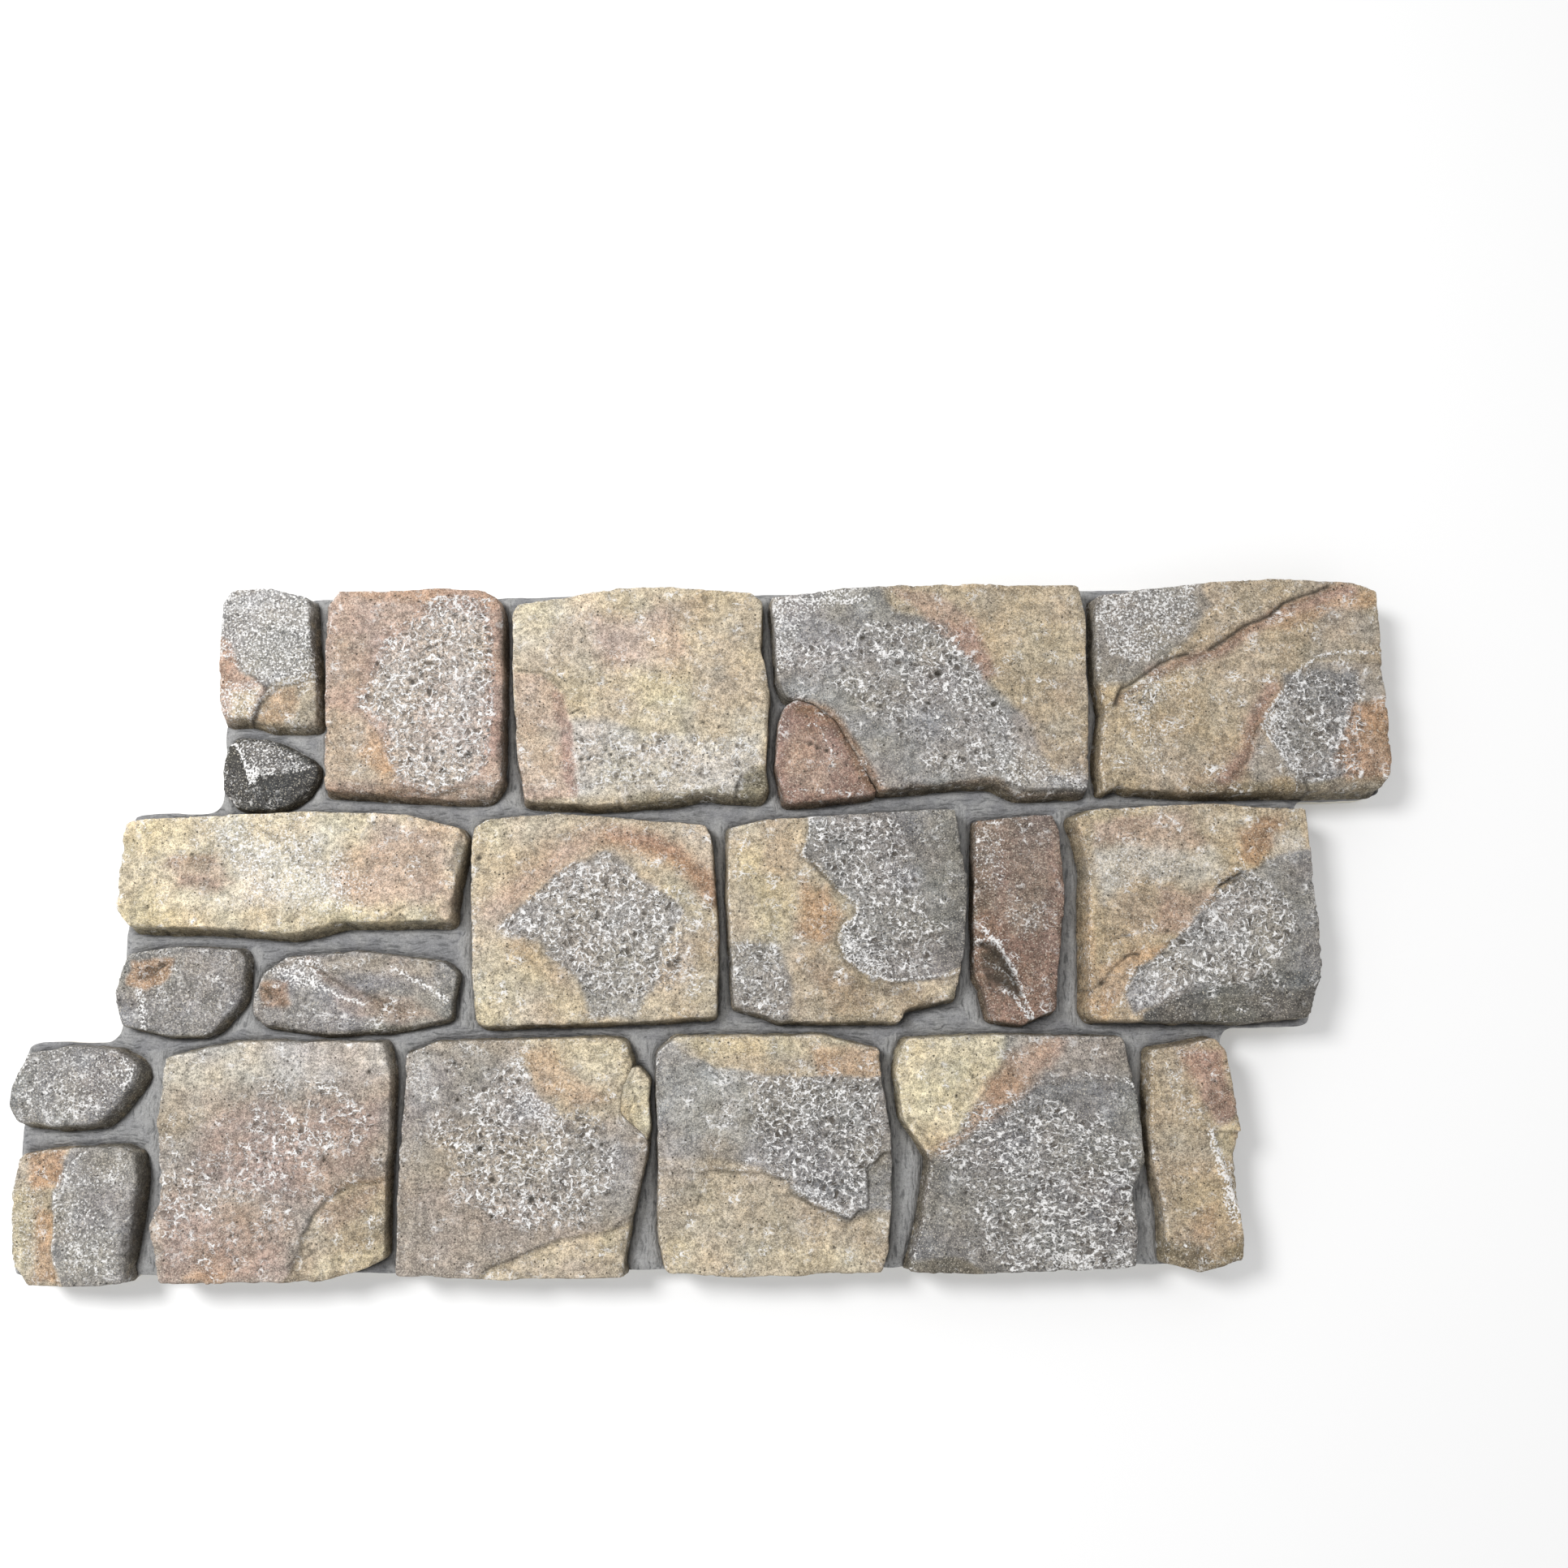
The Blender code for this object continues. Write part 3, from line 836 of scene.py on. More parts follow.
T2 = Stone(
    "t2", "2,92 8,98 31,98 62,99 86,98 94,94 97,85 97,48 97,11 90,4 66,4 4,8 3,45",
    21, Tone.PINK, (
        Wash(Tone.SAND, "3,45 24,40 40,20 44,10 3,10", 0.55, 12),
        Wash(Tone.ORANGE, "26,36 36,28 42,14 34,12 22,24", 0.6, 12),
        Wash(Tone.ORANGE, "3,100 60,101 97,99 96,88 80,93 30,92", 0.45, 8),
        Wash(Tone.TAN, "5,75 26,78 22,55 5,52", 0.35, 14),
        Ledge("4,11 46,10 60,5 77,9 90,10 110,10 110,-10 -10,-10 -10,11", 0.0, (0.0, 0.5), 0.1, 0.2),
        Ledge("22,47 28,56 32,71 36,76 58,93 97,93 97,11 60,6 46,11 38,23 35,39", 1.0, (0.006, 0.0), 0.6,
              0.1, 3.5),
        Wash(Tone.PALE, "24,47 30,57 35,73 62,90 88,84 90,30 80,12 60,7 46,12 40,24 37,39", 0.55, 9),
        pitted("24,47 30,57 34,72 38,76 62,96 90,94 93,50 90,20 78,11 60,6 46,11 39,23 36,39", 0.8, 6),
        pitted("20,47 30,58 34,76 50,80 56,60 44,42", 0.8, 8), pitted("38,24 70,26 66,8 46,11", 0.6, 10),
        Wash(Tone.ROSE, "88,85 97,80 97,20 90,24", 0.45, 10),
        Wash(Tone.RUST, "3,8.5 50,8 60,3 4,2", 0.4, 4),
        Pit((49, 56), 3.2, 2.4), Pit((80, 24), 2.2, 2.0), Pit((66, 24), 2.4, 1.8), Pit((30, 64), 2.0, 1.5),
        Pit((52, 93), 1.8, 1.4), Pit((90, 34), 1.8, 1.4),
        # Right edge darkened: partly dark paint, partly painted shade on the side away from the light.
        wash_and_shade("98,92 93,80 97,60 94,20 99,5 104,50", 0.55, 3),
    ),
    (0.006, 0.0), (3, 3, 6, 1), shade=0.92,
)
T3 = Stone(
    "t3", "2,87 4,91 23,94 42,98 63,98 93,95 97,91 96,69 99,50 97,17 98,7 95,2 86,3 72,5 64,2 34,0 7,2 "
          "4,24 2,63",
    21, Tone.SAND, (
        Wash(Tone.CREAM, "2,92 22,94 60,99 80,95 40,88 18,84 14,70 3,72", 0.6, 12),
        Wash(Tone.YELLOW, "48,58 70,58 72,45 50,44", 0.5, 18),
        Wash(Tone.PINK, "30,84 62,86 70,64 36,62", 0.65, 20),
        Wash(Tone.ORANGE, "52,96 74,95 72,80 58,82", 0.25, 16),
        Wash(Tone.TAUPE, "76,92 98,90 98,40 80,42", 0.25, 16),
        chalk("10,88 60,92 80,60 30,44", 0.14, 16),
        Ledge("5,61 12,60 20,53 23,40 26,18 27,-10 -10,-10 -10,62", 1.6, (0.0, 0.004), 0.15, 0.12),
        Wash(Tone.PINK, "2,60 13,59 20,52 25,30 27,2 4,2", 0.7, 4),
        Wash(Tone.SAND, "4,34 18,34 20,8 6,6", 0.45, 12),
        Wash(Tone.ROSE, "17,52 22,50 25,30 28,4 23,4 20,30", 0.65, 5),
        Wash(Tone.PALE, "24,38 40,38 55,30 70,30 72,25 97,34 97,12 86,3 27,2", 0.8, 9),
        Wash(Tone.YELLOW, "44,40 66,40 68,28 50,26", 0.45, 12),
        pitted("26,32 50,30 96,30 95,10 86,5 28,3", 0.42, 9),
        chalk("70,33 96,32 96,14 30,4 32,14", 0.2, 9),
        Crack("4,61 12,60 16,59 18,56 21,53", 0.9, 1.0, 0.65), Crack("24,41 28,43", 1.0, 1.2, 0.95, 0.5),
        Crack("88,42 91,45 94,46 97,45", 0.9, 0.9, 0.6), Crack("67,34 70,30 71,27", 0.9, 1.0, 0.6),
        Pit((28, 20), 2.2, 2), Pit((31, 20), 2.0, 2), Pit((39, 22), 2.0, 2), Pit((29, 13), 1.8, 2),
        Pit((70, 34), 2.0, 1.5), Pit((74, 36), 2.0, 1.5), Pit((80, 34), 1.8, 1.5), Pit((37, 24), 1.6, 1.5),
        Pit((26, 29), 1.6, 1.5), Pit((55, 70), 1.2, 1),
        Ledge("42,3 48,6 57,5 64,6 72,6 80,7.5 86,5 96,10 96,-10 42,-10", 0.0, (0.0, 0.6), 0.4, 0.4),
        Ledge("85,4 88,13 92,17 112,19 112,-10 85,-10", 6.0, (0.0, 0.3), 0.3, 0.6, 3.5),
        Wash(Tone.OLIVE, "43,3 50,5.5 64,5 80,7 87,2 60,-4", 0.65, 3),
        Wash(Tone.OLIVE, "87,4 89,12 93,16 102,17 102,-2 86,-2", 0.8, 4),
    ),
    (0.0, 0.0), (2, 2, 6, 1), shade=1.08,
)
T4 = Stone(
    "t4", "1,93 24,97 64,98 97,97 99,82 97,9 96,3 76,2 68,8 57,8 33,5 27,19 20,37 14,44 5,48 2,56 2,73",
    21, Tone.GREY, (
        Wash(Tone.TAN, "36,101 38,88 42,84 55,83 60,73 64,62 68,52 74,43 80,36 82,26 86,12 102,8 102,101",
             0.95, 9),
        Wash(Tone.SAND, "60,96 97,96 97,60 80,56 68,78", 0.45, 18),
        Wash(Tone.ROSE, "38,96 54,94 64,80 68,60 60,66 50,82", 0.55, 9),
        Wash(Tone.ROSE, "56,82 64,76 70,56 66,54 60,66", 0.75, 9),
        Wash(Tone.TAUPE, "74,36 96,34 97,8 74,8", 0.45, 14),
        Wash(Tone.SLATE, "30,60 50,60 60,30 50,10 36,12 24,40", 0.4, 18),
        Ledge("38,110 38,97 40,84 55,82 58,75 59,66 63,59 65,50 69,43 72,38 76,29 69,20 72,-10 -10,-10 "
              "-10,110", 1.4, (-0.009, 0.0), 0.25, 0.1, 3.5),
        Ridge("22,79 26,74 29,75 33,78", 1.4, 0.8, 0.6),
        pitted("3,74 22,80 40,83 55,81 58,74 62,60 65,50 70,42 77,31 74,20 70,10 50,12 30,40 20,50 4,60",
               0.5, 8),
        pitted("30,80 55,81 58,73 64,58 66,48 76,32 66,30 56,44 46,56 36,66", 0.85, 10),
        chalk("1,95 14,96 30,97 28,90 10,86 8,60 2,60", 0.45, 6), chalk("68,28 96,12 96,6 72,6", 0.4, 9),
        Ridge("3,91 14,92 24,91 31,93", 2.0, 0.5, 0.75, 2.5), Ridge("2,90 3,82", 1.6, 0.3, 0.7),
        Ridge("70,20 71,12 76,6", 1.8, 0.4, 0.7), Ridge("52,48 60,50 66,51", 1.4, 0.4, 0.6),
        Pit((52, 57), 4.2, 2.6), Pit((56, 63), 3.0, 2.2), Pit((69, 43), 3.4, 2.2), Pit((77, 31), 2.4, 1.8),
        Pit((49, 44), 2.6, 1.6), Pit((29, 74), 3.0, 1.8), Pit((53, 19), 2.4, 1.5), Pit((67, 30), 2.4, 1.5),
        Pit((34, 43), 2.4, 1.5), Pit((20, 30), 1.8, 1.4), Pit((44, 62), 2.0, 1.4), Pit((75, 61), 1.8, 1.0),
        Ledge("42,9 57,11 68,11 78,4 97,5 110,5 110,-10 42,-10", 0.0, (0.0, 0.5), 0.2, 0.5),
        Wash(Tone.BROWN, "30,5 57,9 68,10 76,3 97,4 97,-4 30,-4", 0.75, 4),
        Stain(Tone.RUST, "8,45 16,42 22,33 28,18 33,5", 4.0, 0.8),
    ),
    (0.003, 0.0), (3, 2, 5, 1),
)
T4_LOW = Stone(
    "t4_low", "4,42 8,46 14,43 20,36.5 27,19 32,4 17,1 4,0 1,17 2,32",
    17, Tone.ROSE, (
        Wash(Tone.PINK, "4,32 16,34 22,18 16,6 4,8", 0.6, 10),
        Stain(Tone.RUST, "8,42 16,40 21,33 26,18 31,6", 5.0, 0.85),
        Ridge("11,34 13,36 15,34 17,27 20,20", 1.2, 0.4, 0.6, 2.0),
        Ridge("4,4 12,6 24,4", 1.2, 0.4, 0.5, 2.0),
        Pit((12, 26), 2.4, 2.0), Pit((14, 24), 2.2, 2.0), Pit((17, 23), 2.4, 2.0), Pit((10, 14), 1.6, 1.2),
        Pit((18, 16), 1.8, 1.2),
    ),
    (-0.02, 0.01), (2, 0, 4, 0), shade=0.81,
)
T5 = Stone(
    "t5", "3,92 17,94 39,97 61,99 90,97 99,93 98.5,55 99,18 98,9 94,3 40,2 12,4 8,7 2,3 1,17 4,38 2,60",
    21, Tone.TAN, (
        Wash(Tone.SLATE, "0,94 38,99 42,86 32,70 22,60 10,50 0,50", 0.8, 8),
        chalk("3,93 36,96 38,84 26,68 14,60 6,64", 0.44, 8),
        pitted("3,92 36,95 34,76 14,60 6,64", 0.3, 9),
        Wash(Tone.TAUPE, "38,100 90,100 80,92 60,80 44,74", 0.45, 10),
        Wash(Tone.ORANGE, "58,76 70,84 86,93 99,95 99,86 84,84 66,74", 0.5, 8),
        Wash(Tone.SAND, "28,60 60,72 66,56 52,40 34,44", 0.3, 14),
        Wash(Tone.GREY, "80,84 99,86 99,58 72,62", 0.35, 12),
        Ledge("-10,36 7,42 10,49 15,53 23,61 33,64 43,68 55,78 67,87 83,94 96,99 100,110 -10,110", 0.9,
              (0.004, 0.006), 0.2, 0.4, 1.8),
        Stain(Tone.ROSE, "20,57 33,62 43,66 55,76 67,84 90,94", 6.0, 0.7),
        Stain(Tone.RUST, "8,44 33,63 43,67 55,77 67,86 88,95", 3.0, 0.6),
        Crack("7,42 10,49 15,53 23,61 33,65", 1.5, 2.2, 0.95, 1.6),
        Crack("40,67 48,73 55,79 62,82 67,88 83,95", 1.7, 2.6, 0.95, 1.6),
        Ridge("26,66 38,71 50,80 60,87 70,93", 1.6, 0.5, 0.35, 2.5),
        Crack("10,49 7,43 4,38", 1.0, 1.0, 0.5),
        chalk("11,50 24,60 44,62 34,46 20,40", 0.24, 9), chalk("9,44 18,44 24,10 17,8 14,30", 0.30, 8),
        pitted("9,46 22,56 24,42 14,36", 0.6, 6),
        Stain(Tone.ROSE, "60,48 54,34 50,20 42,6", 8.0, 0.85),
        Stain(Tone.RUST, "58,40 54,30 50,18 44,6", 7.0, 0.6),
        Crack("56,33 52,24 50,16 44,8", 1.1, 0.8, 0.45),
        Wash(Tone.TAUPE, "72,60 66,50 60,40 57,32 60,21 66,11 66,2 101,2 101,60", 0.9, 4),
        Wash(Tone.SLATE, "64,56 90,56 86,8 66,4 60,22", 0.95, 8),
        Wash(Tone.GREY, "56,30 60,20 66,10 52,4 50,14", 0.6, 7),
        Ledge("80,64 71,58 66,50 59,38 57,32 62,21 67,11 66,-10 110,-10 110,64", 1.4, (0.006, 0.004), 0.75,
              0.1, 3.0),
        pitted("70,58 60,40 58,32 62,21 67,8 88,8 92,50", 0.55, 7),
        chalk("66,50 58,38 57,30 64,12 70,10 64,28 68,46", 0.45, 5),
        Wash(Tone.ORANGE, "88,42 100,44 100,6 84,6 80,16", 0.75, 9),
        Wash(Tone.RUST, "88,42 100,44 100,6 84,6 80,16", 0.30, 9),
        Crack("69,8 71,2", 1.4, 1.6, 0.8),
        Wash(Tone.OLIVE, "30,6 66,6 98,9 98,-3 30,-3", 0.6, 5),
    ),
    (0.0, 0.0), (3, 1, 5, 1),
)
TOP_COURSE = ((93, (T1, T1_LOW)), (166, (T2,)), (234, (T3,)), (285, (T4, T4_LOW)), (262, (T5,)))


# Middle course, from the left

M1 = Stone(
    "m1", "2,89 3,94 9,96 56,98 82,96 97,90 99,85 96,65 95,50 64,50 51,45 28,48 5,49 1,57 2,81",
    22, Tone.CREAM, (
        Wash(Tone.YELLOW, "0,96 12,97 14,60 8,48 0,50", 0.45, 12),
        Wash(Tone.PALE, "24,90 44,97 70,88 64,58 46,52 34,62", 0.55, 44),
        Wash(Tone.PINK, "76,97 98,92 97,54 72,54 60,66", 0.8, 36),
        Wash(Tone.YELLOW, "60,58 90,56 96,49 50,44 10,48 10,54", 0.4, 9),
        Wash(Tone.PINK, "16,78 28,80 34,66 26,62 17,66", 0.6, 9),
        Stain(Tone.RUST, "15,75 20,78 27,78", 4.5, 0.5), Stain(Tone.ROSE, "19,68 26,69 30,66", 5.0, 0.55),
        chalk("26,92 52,88 74,66 62,54 40,60", 0.45, 40), chalk("4,92 44,92 24,52 4,54", 0.12, 30),
        Crack("49,82 51,76 54,74 57,75", 1.0, 0.9, 0.55), Crack("74,52 77,51 79,54 82,56", 1.0, 1.0, 0.6),
        Crack("33,93 39,92 44,88 47,84", 1.0, 0.7, 0.35), Crack("13,70 16,69 18,66", 0.9, 0.7, 0.4),
        Crack("31,86 36,88", 0.9, 0.7, 0.4),
        Ridge("58,72 60,64 64,57", 2.0, 0.3, 0.5, 3.0),
        Pit((22, 80), 1.8, 1.4), Pit((52, 83), 1.6, 1.2), Pit((10, 57), 1.8, 1.4), Pit((73, 93), 1.4, 1.0),
        Pit((45, 70), 1.4, 0.8),
        Wash(Tone.OLIVE, "4,48.5 28,47 51,45 64,49 96,50 96,40 4,40", 0.55, 4),
        # Right edge darkened: partly dark paint, partly painted shade on the side away from the light.
        wash_and_shade("97,86 95,76 97,66 94,56 97,48 104,66", 0.55, 4),
    ),
    (0.0, 0.008), (1, 3, 8, 2), rim=4.5,
)
M2 = Stone(
    "m2", "4,37 18,40 35,38 37,35 37,18 30,5 26,2 17,2 4,7 3,10 1,20",
    17, Tone.SLATE, (
        Wash(Tone.TAUPE, "4,36 34,37 36,18 26,4 6,8", 0.25, 10),
        chalk("4,36 34,37 36,18 26,4 6,8", 0.20, 10),
        Wash(Tone.ORANGE, "5,33 12,35 17,34 16,26 10,22 5,25", 0.7, 5),
        Pit((11, 30), 4.5, 3.2, 0.5), Pit((14, 32), 3.0, 2.0, 0.6),
        Wash(Tone.RUST, "7,30 11,32 14,32 12,26 8,26", 0.6, 4),
        Crack("8,27 11,27 13,30 15,32", 1.3, 1.4, 0.7),
        Ridge("8,21 9,14 10,6", 3.0, 0.3, 0.7, 2.5),
        Wash(Tone.OLIVE, "4,7 17,3 28,3 28,-3 4,-3", 0.5, 4),
    ),
    (0.0, 0.02), (1, 3, 3, 2),
)
M3 = Stone(
    "m3", "40,19 42,28 49,35 69,37 93,32 97,27 95,8 77,3 61,2 44,6 40,11",
    14, Tone.GREY, (
        Wash(Tone.SAND, "44,34 90,36 90,26 60,28 52,30", 0.45, 10),
        Wash(Tone.PINK, "62,20 82,18 92,8 78,5 66,12", 0.5, 12),
        Wash(Tone.ORANGE, "41,25 49,25 50,14 42,13", 0.55, 6),
        Pit((44.5, 20), 6.0, 1.4, 0.25),
        Stain(Tone.RUST, "43,22 47,20 48,14", 4.0, 0.6),
        Crack("42,22 44,20 45,17", 1.3, 1.0, 0.7),
        Pit((47, 21), 1.6, 1.2, 0.8),
        chalk("43,30 50,34 60,33 58,20 50,22", 0.5, 8), chalk("52,12 74,10 70,4 50,6", 0.25, 10),
        Crack("55,33 60,26 66,22 76,15 88,8", 4.5, 1.8, 0.0, 2.0),
        Stain(Tone.RUST, "55,33 60,26 66,22 76,15 82,10", 4.5, 0.45),
        Crack("57,31 61,26 66,22", 1.4, 1.0, 0.7), Crack("70,20 75,17 82,11", 1.2, 0.9, 0.6),
        Ridge("50,27 56,24 62,20 70,15", 2.4, 0.6, 0.8, 2.5),
        Ridge("79,30 86,24 94,16", 2.6, 0.7, 0.8, 2.5), Ridge("51,33 56,33 60,29", 1.6, 0.5, 0.6, 2.0),
        Wash(Tone.OLIVE, "44,5 61,3 84,5 84,-3 44,-3", 0.5, 4),
    ),
    (0.0, 0.01), (3, 2, 4, 2), rim=5.5, shade=0.90,
)
M4 = Stone(
    "m4", "2,90 7,94 36,96 84,91 93,90 95,85 97,50 97,20 96,8 64,6 8,5 4,7 2,30 1,69",
    21, Tone.SAND, (
        Wash(Tone.CREAM, "0,94 30,96 22,76 8,60 0,60", 0.4, 16),
        Wash(Tone.CREAM, "0,36 16,30 28,6 0,4", 0.6, 14),
        Stain(Tone.PINK, "10,54 24,66 36,78 48,86", 13, 0.75),
        Stain(Tone.ORANGE, "56,86 70,82 82,76 90,68 97,58", 10, 0.9),
        Stain(Tone.ROSE, "58,87 72,83 84,76", 7, 0.45), Stain(Tone.RUST, "72,81 80,77 88,71 95,62", 6, 0.5),
        Stain(Tone.CREAM, "14,36 28,28 38,16 44,8", 14, 0.6),
        Stain(Tone.ORANGE, "20,38 32,28 42,16 48,8", 11, 0.25),
        Stain(Tone.YELLOW, "78,62 88,54 97,50", 8, 0.5), Stain(Tone.PINK, "64,22 76,24 86,36", 14, 0.35),
        Stain(Tone.TAN, "2,48 12,42 24,32", 6, 0.35),
        Wash(Tone.GREY,
             "12,47 26,60 40,73 52,80 60,76 66,68 80,58 84,52 76,36 74,20 66,8 48,8 46,19 40,27 28,38",
             0.85, 8),
        Ledge("11,47 39,72 52,80 62,71 84,54 86,42 82,15 47,9 45,19 39,27 23,43", 0.7, (0.0, 0.0), 0.2, 0.1,
              3.5),
        pitted("12,47 26,61 40,74 56,76 64,68 84,56 86,46 80,20 64,14 46,18 40,28 28,39", 0.78, 7),
        pitted("22,52 40,68 60,66 66,48 54,30 38,32", 0.5, 12), pitted("80,64 97,56 94,20 80,18", 0.2, 12),
        chalk("46,16 70,16 72,7 48,7", 0.25, 8),
        Pit((50, 50), 2.4, 1.8), Pit((35, 53), 2.4, 1.6), Pit((60, 36), 2.4, 1.6), Pit((13, 10), 1.6, 1.0),
        Pit((4, 77), 2.8, 1.6),
    ),
    (0.0, 0.0), (1, 2, 5, 2),
)
M5 = Stone(
    "m5", "3,89 17,92 83,96 95,96 96,79 99,66 96,35 92,14 73,10 70,5 23,5 4,12 2,60",
    22, Tone.SAND, (
        Wash(Tone.YELLOW, "6,92 20,93 14,70 6,66", 0.5, 10),
        Wash(Tone.CREAM, "16,93 34,94 34,76 24,66 16,72", 0.5, 16),
        Wash(Tone.ORANGE, "16,93 34,94 34,76 24,66 16,72", 0.30, 14),
        Wash(Tone.YELLOW, "12,68 28,64 26,42 12,40", 0.5, 16),
        Wash(Tone.ORANGE, "30,66 44,60 48,50 42,38 30,42", 0.75, 14),
        Wash(Tone.SLATE, "0,38 22,38 27,24 26,4 0,6", 0.75, 9),
        Wash(Tone.TAN, "28,36 46,40 60,20 66,6 28,4", 0.8, 12),
        Wash(Tone.RUST, "34,28 52,26 60,12 40,8", 0.35, 14),
        Wash(Tone.RUST, "60,20 80,20 92,14 72,8", 0.30, 9),
        Wash(Tone.YELLOW, "80,22 94,20 92,14 78,14", 0.3, 6),
        chalk("3,34 22,36 25,6 4,12", 0.22, 8),
        pitted("3,40 22,38 26,20 24,5 4,12", 0.50, 8),
        Ledge("35,86 32,76 38,71 42,66 46,61 53,55 53,50 48,47 45,39 49,31 58,24 67,21 81,23 110,27 "
              "110,-10 -10,-10 -10,110 36,110", 2.2, (0.0, 0.004), 0.75, 0.45, 2.0),
        Wash(Tone.SLATE,
             "36,98 35,86 33,76 39,71 43,66 47,61 54,55 54,50 49,47 46,39 50,31 59,24 68,21 84,23 100,30 "
             "100,98", 0.95, 2.5),
        Wash(Tone.DARK_GREY, "70,90 100,92 100,34 84,30 84,60", 0.3, 16),
        pitted("37,92 36,78 44,68 50,60 54,52 48,46 47,38 52,30 60,24 76,24 86,40 80,60 72,94", 0.68, 10),
        pitted("40,92 56,76 70,92", 0.6, 8), pitted("47,44 60,40 78,26 60,24 50,32", 0.6, 6),
        chalk("47,42 52,42 60,30 74,25 62,23 50,31", 0.4, 4),
        Crack("34,77 38,70 42,66 46,61", 1.3, 1.0, 0.75, 1.2),
        Ridge("10,88 5,72", 1.8, 0.3, 0.5, 2.5),
        wash_and_shade("50,25 66,19 80,20 66,16 54,20", 0.3, 5),
        Crack("72,8 74,10 92,13", 1.5, 1.5, 0.7),
    ),
    (0.005, 0.005), (3, 2, 4, 2),
)
M6 = Stone(
    "m6", "9,91 85,93 90,87 94,59 82,24 79,9 53,5 47,3 15,5 9,19 3,23 6,66",
    21, Tone.ROSE, (
        Wash(Tone.RUST, "-10,110 110,110 110,-10 -10,-10", 0.45, 12),
        Wash(Tone.TAUPE, "35,95 95,95 95,60 70,42 36,42", 0.45, 12),
        Wash(Tone.BROWN, "40,96 66,92 56,86 40,88", 0.35, 8),
        Wash(Tone.ROSE, "84,80 94,60 84,20 80,8 52,6 62,30", 0.6, 10),
        Wash(Tone.TAUPE, "6,90 34,90 30,50 4,50", 0.4, 9),
        Ledge("40,110 38,60 35,40 21,38 -14,38 -14,110", 0.0, (0.13, 0.0), 0.5, 0.0),
        Ledge("21,38 32,31 39,24 47,16 53,7 55,-10 -14,-10 -14,38", 4.0, (0.06, 0.0), 0.8, 0.5),
        chalk("10,86 36,88 34,60 8,60", 0.3, 9), chalk("36,56 80,56 74,40 40,40", 0.25, 10),
        Ridge("12,44 20,40 27,36 33,30 40,24", 2.6, 1.6, 1.0, 1.5),
        Ridge("30,17 38,16 44,11 52,6", 2.2, 1.6, 1.0, 1.5),
        Ridge("10,30 22,27 32,24 40,20", 1.8, 1.2, 0.8, 2.0),
        Crack("10,37 20,35 28,31 36,24 44,16", 2.4, 2.4, 0.9, 1.5),
        Crack("12,24 22,22 32,20", 1.8, 1.6, 0.9, 1.5),
        wash_and_shade("6,34 22,34 34,24 44,10 30,18 10,20", 0.65, 5),
        Stain(Tone.BROWN, "10,32 20,32 27,28", 5.0, 0.7),
        Wash(Tone.ROSE, "12,16 34,16 46,6 20,4", 0.5, 6), Wash(Tone.RUST, "40,34 76,34 78,10 50,6", 0.3, 9),
        Wash(Tone.BROWN, "12,34 24,36 34,28 44,14 34,17 20,24", 0.75, 5),
        Crack("30,15 20,17 14,20", 1.2, 1.0, 0.5),
    ),
    (0.0, 0.0), (2, 3, 3, 2), shade=0.74,
)
